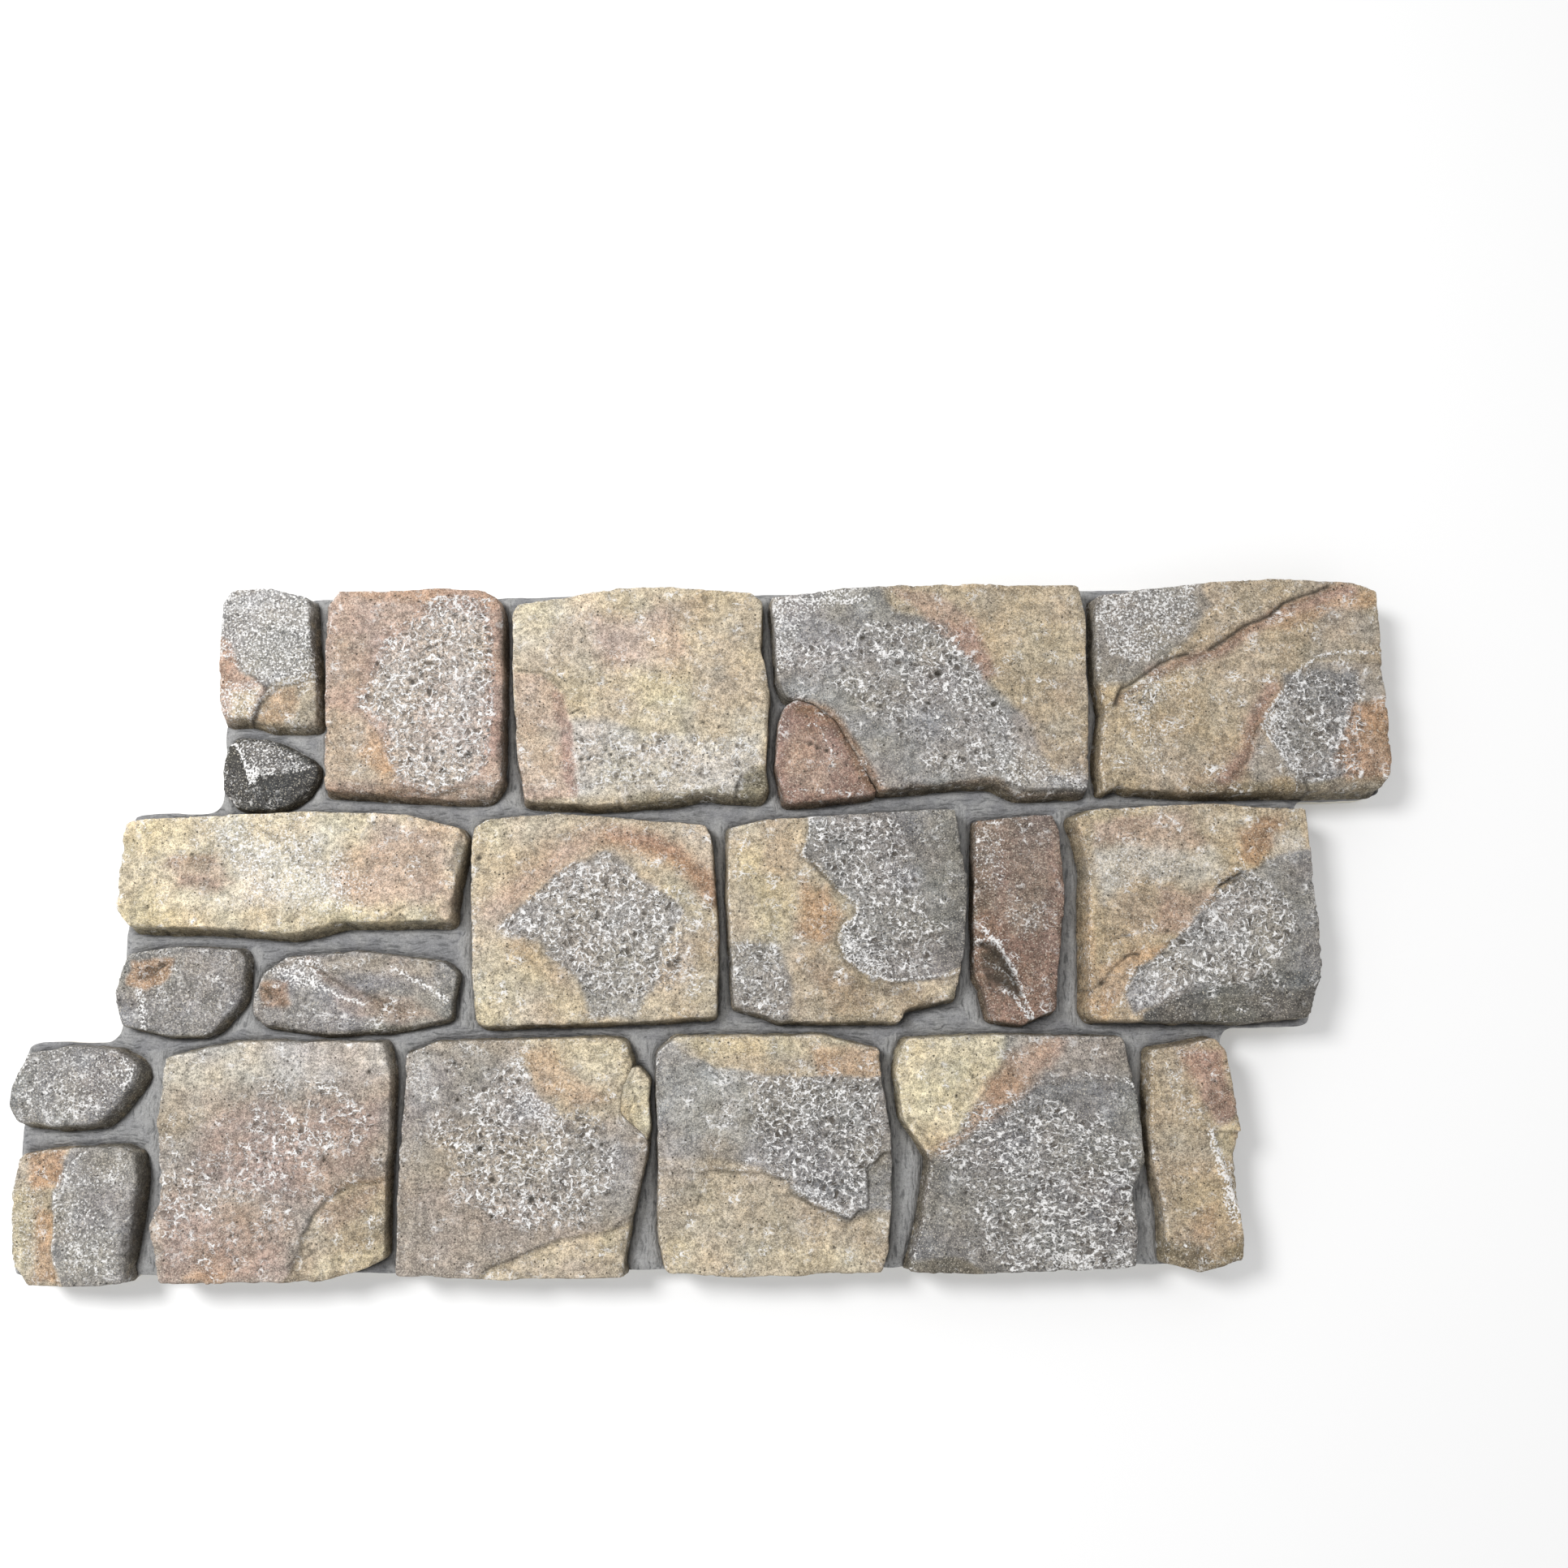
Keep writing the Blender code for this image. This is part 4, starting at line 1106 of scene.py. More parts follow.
M7 = Stone(
    "m7", "3,91 12,95 62,97 98,94 99,75 100,33 100,24 93,5 69,3 8,4 5,8 8,69 6,83",
    22, Tone.TAN, (
        Wash(Tone.PINK, "10,92 50,92 58,78 40,76 10,80", 0.6, 14),
        Wash(Tone.YELLOW, "6,97 40,97 30,92 10,90", 0.45, 8),
        Wash(Tone.PALE, "10,78 40,80 62,76 66,66 50,62 30,66 12,54", 0.75, 14),
        Wash(Tone.SAND, "50,96 86,96 80,84 60,80", 0.4, 12),
        Wash(Tone.ROSE, "36,60 56,60 60,56 46,42 34,42", 0.5, 12),
        Wash(Tone.ORANGE, "4,90 7,70 8,10 3,8", 0.6, 5),
        Wash(Tone.ORANGE, "6,26 22,34 40,38 22,20 12,6 5,8", 0.5, 9),
        Wash(Tone.RUST, "72,84 80,92 88,90 84,78 76,70 71,72", 0.65, 6),
        Wash(Tone.ORANGE, "70,86 86,94 92,90 82,72 70,70", 0.3, 9),
        Wash(Tone.PALE, "84,84 94,86 98,78 90,68 82,70", 0.5, 8),
        Wash(Tone.GREY, "70,66 80,72 100,78 100,24 78,24 56,18 38,12 22,6 20,16 26,26 40,38 56,52", 0.92,
             4),
        Wash(Tone.SLATE, "84,72 102,78 102,20 30,8 44,16 80,26 90,46", 0.8, 8),
        Ledge("71,66 62,62 53,49 45,40 38,37 24,24 21,19 16,6 30,7 39,13 56,18 72,21 77,25 93,45 85,57",
              1.2, (0.0, 0.0), 0.3, 0.15, 3.0),
        chalk("9,76 40,78 58,70 40,62 12,56", 0.28, 16),
        Wash(Tone.TAN, "0,96 9,92 9,6 0,6", 0.5, 4),
        pitted("40,38 55,54 62,64 74,68 86,58 92,46 84,30 70,21 50,17 34,14 26,24", 0.78, 7),
        pitted("48,44 64,60 78,56 84,40 70,26 50,22", 0.6, 10),
        pitted("22,24 36,34 44,18 30,10 18,8", 0.45, 8),
        chalk("20,22 40,32 44,14 26,8 14,8", 0.25, 9),
        Ridge("69,76 71,70 76,64 86,54", 1.8, 0.5, 0.55, 3.0),
        Ridge("54,52 60,46 62,40", 2.0, 0.4, 0.7, 3.0),
        Crack("61,61 66,64 71,67", 1.8, 2.6, 0.98, 0.8), Crack("16,39 19,40 23,40", 1.2, 1.2, 0.7),
        Crack("20,31 22,32 26,32", 1.2, 1.4, 0.95, 0.6),
        Crack("2,15 6,17 11,21 14,26 20,31", 1.3, 1.2, 0.6), Crack("36,36 42,39 48,41", 1.0, 0.8, 0.45),
        Pit((25, 26), 2.2, 1.6), Pit((10, 20), 2.4, 1.4), Pit((38, 42), 2.0, 1.2),
        Ledge("30,4 39,12 56,17 72,20 77,24 110,23 110,-10 30,-10", 0.2, (0.0, 0.26), 0.3, 0.15),
        Wash(Tone.DARK_GREY, "26,6 39,13 56,18 72,21 77,25 102,24 102,-2 26,-2", 0.88, 3),
        # Lower right corner darkened: partly dark paint, partly painted shade on the side away from the
        # light.
        wash_and_shade("88,4 88,14 100,22 102,4", 0.4, 8),
    ),
    (0.0, 0.0), (6, 1, 3, 2),
)
MIDDLE_COURSE = ((307, (M1, M2, M3)), (221, (M4,)), (214, (M5,)), (87, (M6,)), (211, (M7,)))


# Bottom course, from the left

B1 = Stone(
    "b1", "2,81 11,95 39,98 73,96 88,91 92,86 75,72 63,66 36,65 8,67 1,74",
    20, Tone.SLATE, (
        Wash(Tone.GREY, "4,90 80,94 88,86 70,70 10,70", 0.4, 12),
        chalk("4,94 80,96 90,87 66,67 6,68", 0.30, 7),
        pitted("2,80 50,84 70,70 40,66 8,68", 0.35, 9),
        chalk("78,94 90,90 84,80 76,82", 0.4, 5),
        Wash(Tone.OLIVE, "8,66.5 36,64.5 63,65.5 78,72 94,86 99,80 80,58 4,58", 0.6, 3),
    ),
    (0.0, -0.01), (1, 4, 7, 1),
)
B1_LOW = Stone(
    "b1_low", "10,53 32,55 80,56 91,53 95,44 91,18 87,7 88,1 21,0 9,9 6,38",
    21, Tone.GREY, (
        Wash(Tone.SAND, "4,58 50,58 38,44 35,37 36,22 38,12 48,-2 4,-2", 0.92, 4),
        Wash(Tone.ORANGE, "14,54 44,56 38,40 22,38", 0.8, 8),
        Wash(Tone.ORANGE, "22,30 35,30 36,14 44,2 24,2 24,16", 0.7, 8),
        Wash(Tone.YELLOW, "4,40 16,40 18,4 6,6", 0.45, 9),
        chalk("8,44 30,40 28,6 10,8", 0.25, 9),
        chalk("40,48 88,50 90,40 56,38 84,20 84,4 50,2 40,20 38,36", 0.32, 8),
        Ledge("49,50 38,44 36,37 37,22 37,15 47,-10 -14,-10 -14,64 60,64 60,57", 1.8, (0.07, 0.0), 0.6, 0.3,
              2.0),
        Crack("58,58 62,52 58,46 60,42", 1.2, 0.9, 0.35),
        # Right edge darkened: partly dark paint, partly painted shade on the side away from the light.
        wash_and_shade("92,54 91,34 86,16 88,2 102,4 102,52", 0.5, 4),
        Pit((10, 44), 1.8, 1.4), Pit((24, 50), 1.5, 1.2), Pit((33, 32), 1.6, 1.2),
    ),
    (0.01, 0.0), (2, 3, 1, 1),
)
B2 = Stone(
    "b2", "6,93 34,99 95,98 98,83 97,43 97,10 87,5 71,1 8,1 3,24 7,34 4,67",
    22, Tone.TAUPE, (
        Wash(Tone.PALE, "4,100 98,100 98,84 70,84 30,82 5,80", 0.85, 14),
        Wash(Tone.SAND, "6,92 30,94 30,70 6,60", 0.4, 16),
        Wash(Tone.PINK, "6,36 40,42 60,26 60,2 8,0 2,20", 0.45, 20),
        Wash(Tone.ROSE, "26,74 94,74 92,48 64,34 20,42", 0.48, 26),
        Wash(Tone.ROSE, "8,30 40,30 56,12 50,2 8,2", 0.45, 16),
        Wash(Tone.ORANGE, "18,4 34,5 32,0 18,0", 0.5, 5),
        Wash(Tone.TAN, "96,43 82,40 74,35 67,27 64,19 64,12 60,7 56,-2 100,-2 100,42", 0.75, 3.5),
        Wash(Tone.ROSE, "68,28 80,36 96,40 92,30 76,20", 0.4, 10),
        Wash(Tone.CREAM, "72,10 98,18 97,8 84,4 66,2", 0.55, 10),
        pitted("42,86 72,84 90,70 86,56 66,46 50,52 44,66", 0.42, 14),
        pitted("10,58 40,60 60,50 58,20 40,8 8,6 6,30", 0.36, 14),
        chalk("8,50 48,56 62,30 50,6 10,4", 0.06, 14), chalk("40,90 90,84 86,50 50,50", 0.12, 14),
        Ledge("97,42 82,40 74,35 67,27 64,19 64,12 60,7 54,-10 110,-10 110,42", 1.6, (0.0, 0.0), 0.1, 0.5,
              2.0),
        Crack("74,35 67,27 64,19 63,12 59,7", 1.3, 0.9, 0.6, 1.6),
        Stain(Tone.RUST, "96,42 84,41 76,38", 3.0, 0.45),
        Crack("47,53 49,50", 1.1, 0.9, 0.6), Crack("72,52 71,48", 1.1, 0.9, 0.5),
        Pit((38, 84), 2.0, 1.2), Pit((72, 50), 2.2, 1.2), Pit((89, 86), 2.4, 1.2), Pit((36, 20), 2.0, 1.2),
        Pit((90, 68), 2.0, 1.0),
    ),
    (0.0, -0.006), (2, 2, 1, 2),
)
B3 = Stone(
    "b3", "4,93 16,98 83,99 89,98 92,88 87,75 87,67 97,57 97,51 91,25 88,6 89,1 46,1 2,3 2,14 2,46 4,83",
    21, Tone.TAUPE, (
        Wash(Tone.SAND, "47,101 90,101 94,88 88,66 72,64 60,70 50,86", 0.92, 9),
        Wash(Tone.CREAM, "66,98 90,98 90,82 76,84", 0.5, 14),
        Wash(Tone.ORANGE, "49,96 60,94 72,82 84,72 70,70 54,82", 0.42, 12),
        Wash(Tone.GREY, "4,94 30,98 50,88 58,70 40,60 20,70 6,72", 0.6, 14),
        Wash(Tone.PALE, "5,92 14,94 16,74 6,74", 0.4, 10),
        Wash(Tone.GREY, "70,60 94,56 92,26 76,22 60,24 58,40", 0.6, 12),
        pitted("40,92 52,84 62,72 78,66 88,52 84,34 72,20 58,20 40,22 28,32 22,48 18,62 32,66", 0.58, 12),
        pitted("26,50 44,58 70,56 78,36 56,24 36,28", 0.6, 10),
        pitted("8,66 34,84 46,80 34,60 10,54", 0.3, 12),
        chalk("44,84 52,80 66,64 60,58 50,68", 0.5, 7), chalk("4,92 14,94 14,78 5,78", 0.3, 8),
        Wash(Tone.SAND, "33,3 38,6 47,9 56,13 65,17 84,20 93,24 92,-3 33,-3", 0.9, 3),
        Wash(Tone.YELLOW, "52,10 66,16 84,18 80,8 60,6", 0.4, 9),
        Ledge("33,1 37,6 46,9 55,13 64,17 83,20 92,24 110,24 110,-10 33,-10", 1.6, (0.0, 0.0), 0.15, 0.4,
              2.0),
        Crack("34,4 40,7 48,10 58,15", 1.0, 0.6, 0.5), Crack("85,21 88,24 91,25", 1.6, 1.0, 0.6),
        Pit((33, 54), 3.4, 2.0), Pit((38, 41), 3.6, 2.2), Pit((53, 33), 3.6, 2.0), Pit((38, 26), 2.6, 1.6),
        Pit((23, 89), 2.6, 1.8), Pit((18, 93), 2.0, 1.4), Pit((80, 55), 2.0, 1.2), Pit((24, 74), 2.4, 1.4),
        Pit((48, 35), 2.4, 1.5), Pit((20, 86), 1.8, 1.2),
        # Right edge darkened: partly dark paint, partly painted shade on the side away from the light.
        wash_and_shade("88,68 98,56 98,46 92,24 88,2 106,2 106,62", 0.35, 4),
    ),
    (0.0, 0.0), (3, 3, 1, 2),
)
B3_CHIP = Stone(
    "b3_chip", "88,86 94,87 99,81 98,72 99,62 97,55 88,58 84,66 85,78",
    18, Tone.CREAM, (
        Wash(Tone.SAND, "84,76 90,76 90,60 84,60", 0.5, 4),
        Wash(Tone.OLIVE, "86,64 98,62 98,54 86,56", 0.35, 5),
        Crack("93,86 91,80 93,74 90,68 92,62", 1.1, 1.0, 0.6, 2.0),
        Pit((94, 70), 1.5, 1.0), Pit((95, 78), 1.3, 0.8),
    ),
    (0.0, 0.0), (0, 1, 2, 2), rim=3.0, lumps=1.4,
)
B4 = Stone(
    "b4", "2,92 10,99 70,99 95,93 95,81 98,60 98,34 96,10 93,2 31,1 5,3 2,19 2,65",
    22, Tone.GREY, (
        Wash(Tone.LIGHT_GREY, "2,88 40,84 44,56 20,56 2,66", 0.7, 12),
        Wash(Tone.SAND, "6,101 98,98 98,82 60,82 44,84 30,86 14,92", 0.92, 6),
        Wash(Tone.YELLOW, "10,100 70,100 90,96 80,90 50,92 20,93", 0.5, 10),
        Wash(Tone.ORANGE, "66,94 95,93 96,82 70,82", 0.5, 8),
        Wash(Tone.PALE, "3,96 16,98 18,90 4,84", 0.4, 8),
        Wash(Tone.SAND, "0,48 22,50 46,44 56,41 58,35 66,30 80,24 98,28 98,-3 0,-3", 0.92, 7),
        Wash(Tone.TAUPE, "0,60 30,58 40,46 16,40 0,42", 0.45, 12),
        Wash(Tone.TAN, "50,40 60,32 80,22 97,26 96,8 70,10 50,26", 0.5, 12),
        Wash(Tone.CREAM, "5,16 90,12 92,3 6,2", 0.35, 12),
        Wash(Tone.GREY, "88,50 98,52 99,28 88,28", 0.8, 4),
        Ledge("2,45 46,43 57,40 57,35 66,29 75,26 81,24 84,27 88,28 88,44 96,51 110,51 110,-10 -10,-10 "
              "-10,45", 0.3, (-0.012, 0.0), 0.45, 0.6, 2.0),
        pitted("40,82 94,82 97,60 94,50 88,45 87,29 80,25 68,30 58,37 50,42 46,50 40,64", 0.8, 6),
        Wash(Tone.SLATE, "44,78 94,78 96,52 84,30 62,38 46,52", 0.9, 10),
        pitted("52,80 92,78 94,52 84,34 66,38 52,52", 0.45, 10),
        pitted("16,66 38,70 40,54 18,54", 0.22, 12),
        chalk("56,36 66,30 80,25 76,32 62,38", 0.4, 4),
        Crack("57,36 64,30 71,27 78,25 83,23 90,26", 1.4, 0.7, 0.6, 1.6),
        Crack("12,33 14,37 17,38 19,34 18,30 14,29 12,33", 1.0, 0.9, 0.55, 1.0),
        Crack("17,38 16,41", 1.2, 0.9, 0.6),
        Pit((75, 55), 2.6, 1.6), Pit((72, 58), 2.2, 1.2), Pit((58, 83), 1.6, 1.2), Pit((40, 20), 1.6, 1.0),
        Pit((56, 8), 1.6, 1.0), Pit((74, 12), 2.0, 1.0), Pit((14, 62), 1.6, 1.0), Pit((60, 0), 1.4, 0.8),
    ),
    (0.004, 0.0), (2, 2, 1, 2),
)
B5 = Stone(
    "b5", "4,92 6,97 44,98 92,97 96,73 98,45 92,35 93,18 92,3 42,1 4,2 10,22 14,47 4,64 2,83",
    21, Tone.SLATE, (
        Wash(Tone.CREAM, "0,100 46,100 42,84 36,74 30,66 26,60 14,51 0,56", 0.95, 12),
        Wash(Tone.YELLOW, "4,96 40,97 38,80 30,70 10,70", 0.2, 14),
        Wash(Tone.TAUPE, "48,100 94,100 96,80 80,81 62,80 50,76", 0.75, 16),
        Wash(Tone.ORANGE, "30,64 37,76 46,90 66,98 62,86 54,76 44,68", 0.7, 16),
        Wash(Tone.PINK, "42,84 52,96 72,98 64,88 52,80", 0.5, 12),
        Wash(Tone.ORANGE, "14,52 28,60 34,68 40,66 30,56 18,50", 0.5, 9),
        Wash(Tone.TAN, "4,66 16,62 22,54 14,48", 0.5, 9),
        Ledge("14,52 29,59 32,65 46,71 59,80 77,81 96,78 110,78 110,110 -10,110 -10,52", 1.0, (-0.003, 0.0),
              0.3, 0.1, 2.5),
        streaked("30,68 48,72 60,70 84,62 96,50 94,30 94,2 40,1 30,16 26,40 16,50", 0.7, 12),
        streaked("34,66 46,64 70,58 92,46 92,6 60,6 44,30 34,48", 0.95, 14),
        Ridge("72,82 80,81.5 90,80.5 96,77", 1.4, 0.6, 0.5, 3.5), Ridge("92,80 95,76", 2.4, 0.4, 0.7, 1.5),
        Crack("46,94 44,86 40,80 36,74", 1.0, 0.7, 0.4), Crack("5,66 10,60 15,52", 1.2, 1.0, 0.4),
        Pit((32, 81), 1.8, 1.2), Pit((25, 73), 1.8, 1.2), Pit((20, 86), 1.4, 1.0), Pit((37, 15), 1.8, 1.0),
        Pit((27, 34), 2.0, 1.0),
        Wash(Tone.BROWN, "4,60 15,48 11,22 4,4 -4,20", 0.4, 6),
        Wash(Tone.OLIVE, "2,7 18,8 32,4 34,-2 2,-2", 0.6, 4),
        chalk("60,10 74,6 74,0 58,2", 0.6, 5),
    ),
    (0.004, 0.0), (3, 3, 1, 2),
)
B6 = Stone(
    "b6", "9,91 55,94 80,96 92,90 100,59 99,51 92,47 96,13 93,5 47,1 12,4 13,21 4,46 5,73",
    20, Tone.TAN, (
        Wash(Tone.SAND, "8,92 40,92 40,50 8,50", 0.4, 14),
        Wash(Tone.ROSE, "44,92 88,92 98,64 80,58 60,70", 0.85, 12),
        Wash(Tone.RUST, "60,84 90,86 94,66 76,64", 0.25, 12),
        Wash(Tone.ORANGE, "40,92 70,90 60,74 42,78", 0.3, 12),
        Wash(Tone.YELLOW, "72,58 98,60 96,46 72,46", 0.4, 9),
        Wash(Tone.ORANGE, "40,24 70,28 66,12 44,14", 0.3, 10),
        Ledge("69,57 97,20 100,-10 130,-10 130,57", 0.0, (-0.3, 0.0), 0.2, 0.1),
        chalk("64,58 76,54 96,30 97,18 80,20 72,40", 0.6, 7), chalk("20,88 40,82 50,60 34,58", 0.3, 9),
        Ridge("67,58 76,48 82,38 92,26", 2.4, 0.5, 0.6, 3.0),
        Ridge("24,87 30,82 37,80", 1.6, 0.4, 0.4, 2.0),
        Wash(Tone.OLIVE, "10,14 40,12 60,5 97,14 97,-2 10,-2", 0.65, 6),
        # Right side darkened: partly dark paint, partly painted shade on the side away from the light.
        wash_and_shade("92,48 100,50 99,40 90,40", 0.4, 5),
        Pit((64, 57), 1.5, 1.0), Pit((30, 30), 1.5, 1.0),
    ),
    (0.0, 0.004), (2, 1, 1, 2), shade=0.96,
)
BOTTOM_COURSE = (
    (120, (B1, B1_LOW)),
    (208, (B2,)),
    (218, (B3, B3_CHIP)),
    (203, (B4,)),
    (214, (B5,)),
    (77, (B6,)),
)

# The courses from the lowest up, each as the widths of its columns with the stones in them
COURSES = (BOTTOM_COURSE, MIDDLE_COURSE, TOP_COURSE)


def course_start(row: int) -> tuple[float, float]:
    """Return where the lower left corner of a course is, counted from the lowest course."""
    rows = len(COURSES)
    half_length = (COURSE_LENGTH + (rows - 1) * COURSE_STEP) / 2
    half_height = rows * COURSE_HEIGHT / 2
    return row * COURSE_STEP - half_length, row * COURSE_HEIGHT - half_height


def cells() -> list[tuple[Stone, Cell]]:
    """Lay out the courses.

    Returns:
        Each stone with its cell.
    """
    laid = []
    for row, course in enumerate(COURSES):
        left, low = course_start(row)
        whole = sum(width for width, _ in course)
        for width, stones in course:
            size = COURSE_LENGTH * width / whole
            room = Cell(left, low, size, COURSE_HEIGHT)
            laid += [(stone, room) for stone in stones]
            left += size
    return laid


# Materials


class Nodes:
    """Adds nodes to one tree and joins them."""

    def __init__(self, tree: bpy.types.NodeTree) -> None:
        """Keep the tree."""
        self.tree = tree

    def add(self, kind: str, settings: dict | None = None, **inputs: object) -> bpy.types.Node:
        """Add a node.

        Args:
            kind: the node's type.
            settings: its properties.
            inputs: a value or an output socket for each input, underscores for blanks.

        Returns:
            The node.
        """
        node = self.tree.nodes.new(kind)
        for key, value in (settings or {}).items():
            setattr(node, key, value)
        self.give(node, **inputs)
        return node

    def give(self, node: bpy.types.Node, **inputs: object) -> None:
        """Feed named inputs of a node, underscores for blanks."""
        for key, value in inputs.items():
            self.feed(node.inputs[key.replace("_", " ")], value)

    def feed(self, socket: bpy.types.NodeSocket, value: object) -> None:
        """Join an output to an input, or set the input's value."""
        if isinstance(value, bpy.types.NodeSocket):
            self.tree.links.new(value, socket)
        else:
            socket.default_value = value

    def math(self, operation: str, *values: object, clamp: bool = False) -> bpy.types.NodeSocket:
        """Calculate with numbers or outputs.

        Args:
            operation: the sum to do.
            values: its numbers or outputs.
            clamp: whether the result stays from 0 to 1.

        Returns:
            The result's output.
        """
        node = self.add("ShaderNodeMath", {"operation": operation, "use_clamp": clamp})
        return self.joined(node, enumerate(values))

    def joined(self, node: bpy.types.Node, values: Iterable[tuple[int, object]]) -> bpy.types.NodeSocket:
        """Feed numbered inputs of a node, and return its first output."""
        for index, value in values:
            self.feed(node.inputs[index], value)
        return node.outputs[0]

    def times(self, first: object, second: object) -> bpy.types.NodeSocket:
        """Multiply two numbers or outputs."""
        return self.math('MULTIPLY', first, second)

    def plus(self, first: object, second: object) -> bpy.types.NodeSocket:
        """Add two numbers or outputs."""
        return self.math('ADD', first, second)

    def minus(self, first: object, second: object) -> bpy.types.NodeSocket:
        """Take the second number or output from the first."""
        return self.math('SUBTRACT', first, second)

    def place(self) -> bpy.types.NodeSocket:
        """Give the place on the piece, in metres."""
        return self.add("ShaderNodeTexCoord").outputs["Object"]

    def parts(self, colour: object) -> bpy.types.bpy_prop_collection:
        """Split a colour into its three numbers."""
        return self.add("ShaderNodeSeparateColor", Color=colour).outputs

    def stretched(self, place: object, scale: tuple[float, float, float],
                  degrees: float = 0.0) -> bpy.types.NodeSocket:
        """Turn coordinates about the upright axis and scale them.

        Args:
            place: the coordinates.
            scale: scale along each axis.
            degrees: how far they turn.

        Returns:
            The changed coordinates.
        """
        turned = (0, 0, math.radians(degrees))
        return self.add("ShaderNodeMapping", Vector=place, Rotation=turned, Scale=scale).outputs[0]

    def between(self, share: object, first: object, second: object) -> bpy.types.NodeSocket:
        """Mix two numbers."""
        return self.joined(self.add("ShaderNodeMix"), ((0, share), (2, first), (3, second)))

    def scaled(self, colour: object, scale: object) -> bpy.types.NodeSocket:
        """Make a colour lighter or darker."""
        node = self.add("ShaderNodeVectorMath", {"operation": 'SCALE'}, Scale=scale)
        return self.joined(node, ((0, colour),))

    def bump(self, height: object, strength: float) -> bpy.types.NodeSocket:
        """Turn a height in millimetres into relief that only the light sees."""
        return self.add("ShaderNodeBump", Height=height, Distance=MM, Strength=strength).outputs[0]

    def ease(self, value: object, low: object, high: object, start: float = 0.0,
             end: float = 1.0) -> bpy.types.NodeSocket:
        """Map a value smoothly between two limits.

        Args:
            value: the value or output to map.
            low: where the change starts.
            high: where the change ends.
            start: result at the low limit.
            end: result at the high limit.

        Returns:
            The mapped output.
        """
        node = self.add("ShaderNodeMapRange", {"interpolation_type": 'SMOOTHSTEP'})
        return self.joined(node, enumerate((value, low, high, start, end)))

    def mix(self, share: object, first: object, second: object) -> bpy.types.NodeSocket:
        """Mix two colours.

        Args:
            share: how much of the second.
            first: the first colour or output.
            second: the second colour or output.

        Returns:
            The mixed colour's output.
        """
        node = self.add("ShaderNodeMix", {"data_type": 'RGBA', "clamp_factor": True})
        self.joined(node, ((0, share), (6, first), (7, second)))
        return node.outputs[2]

    def noise(self, place: object, scale: float, detail: float = 2.0) -> bpy.types.NodeSocket:
        """Add noise.

        Args:
            place: the coordinates.
            scale: lumps in a metre.
            detail: how much finer noise is added.

        Returns:
            The noise's output.
        """
        return self.add("ShaderNodeTexNoise", Vector=place, Scale=scale, Detail=detail).outputs[0]

    def wavered(self, place: object, scale: float, reach: float) -> bpy.types.NodeSocket:
        """Push coordinates about with noise.

        Args:
            place: the coordinates.
            scale: lumps in a metre.
            reach: how far they are pushed, in metres.

        Returns:
            The pushed coordinates.
        """
        lumps = self.add("ShaderNodeTexNoise", Vector=place, Scale=scale, Detail=1.0).outputs["Color"]
        push = self.add("ShaderNodeVectorMath", {"operation": 'MULTIPLY_ADD'})
        return self.joined(push, enumerate((lumps, (reach, reach, reach), place)))


def new_group(name: str, inputs: tuple[str, ...], outputs: tuple[str, ...]) -> tuple[Nodes, object, object]:
    """Start a node group whose sockets all carry numbers.

    Args:
        name: name of the group.
        inputs: names of its inputs.
        outputs: names of its outputs.

    Returns:
        The group's nodes, its input node and its output node.
    """
    tree = bpy.data.node_groups.new(name, 'ShaderNodeTree')
    for side, labels in (('INPUT', inputs), ('OUTPUT', outputs)):
        for label in labels:
            tree.interface.new_socket(name=label, in_out=side, socket_type='NodeSocketFloat')
    nodes = Nodes(tree)
    return nodes, tree.nodes.new("NodeGroupInput"), tree.nodes.new("NodeGroupOutput")


def new_finish(name: str) -> tuple[bpy.types.Material, Nodes, bpy.types.Node]:
    """Start a material.

    Args:
        name: name of the material.

    Returns:
        The material, its nodes and its shader.
    """
    finish = bpy.data.materials.new(name)
    finish.use_nodes = True
    return finish, Nodes(finish.node_tree), finish.node_tree.nodes["Principled BSDF"]


def sand_grain() -> bpy.types.NodeTree:
    """Make the sandy grain of the cast surface, with dark specks in it.

    Returns:
        A group that gives the grain's shade, pale grains, dark specks and height.
    """
    nodes, _, out = new_group("sand_grain", (), ("Shade", "Pale", "Speck", "Height"))
    place = nodes.place()
    fine = nodes.noise(place, 1000.0)
    coarse = nodes.noise(place, 380.0, 3.0)
    both = nodes.plus(nodes.times(fine, 0.55), nodes.times(coarse, 0.45))
    dots = nodes.add("ShaderNodeTexVoronoi", Vector=nodes.wavered(place, 900.0, 0.0012), Scale=270.0)
    size = nodes.ease(nodes.parts(dots.outputs["Color"])[0], 0.45, 1.0, 0.0, 0.26)
    speck = nodes.math('MULTIPLY', nodes.minus(size, dots.outputs["Distance"]), 12.0, clamp=True)
    nodes.give(out, Shade=nodes.ease(both, 0.36, 0.64, 0.54, 1.42), Speck=speck,
               Pale=nodes.ease(nodes.noise(place, 760.0), 0.57, 0.68),
               Height=nodes.minus(both, nodes.times(speck, 0.6)))
    return nodes.tree


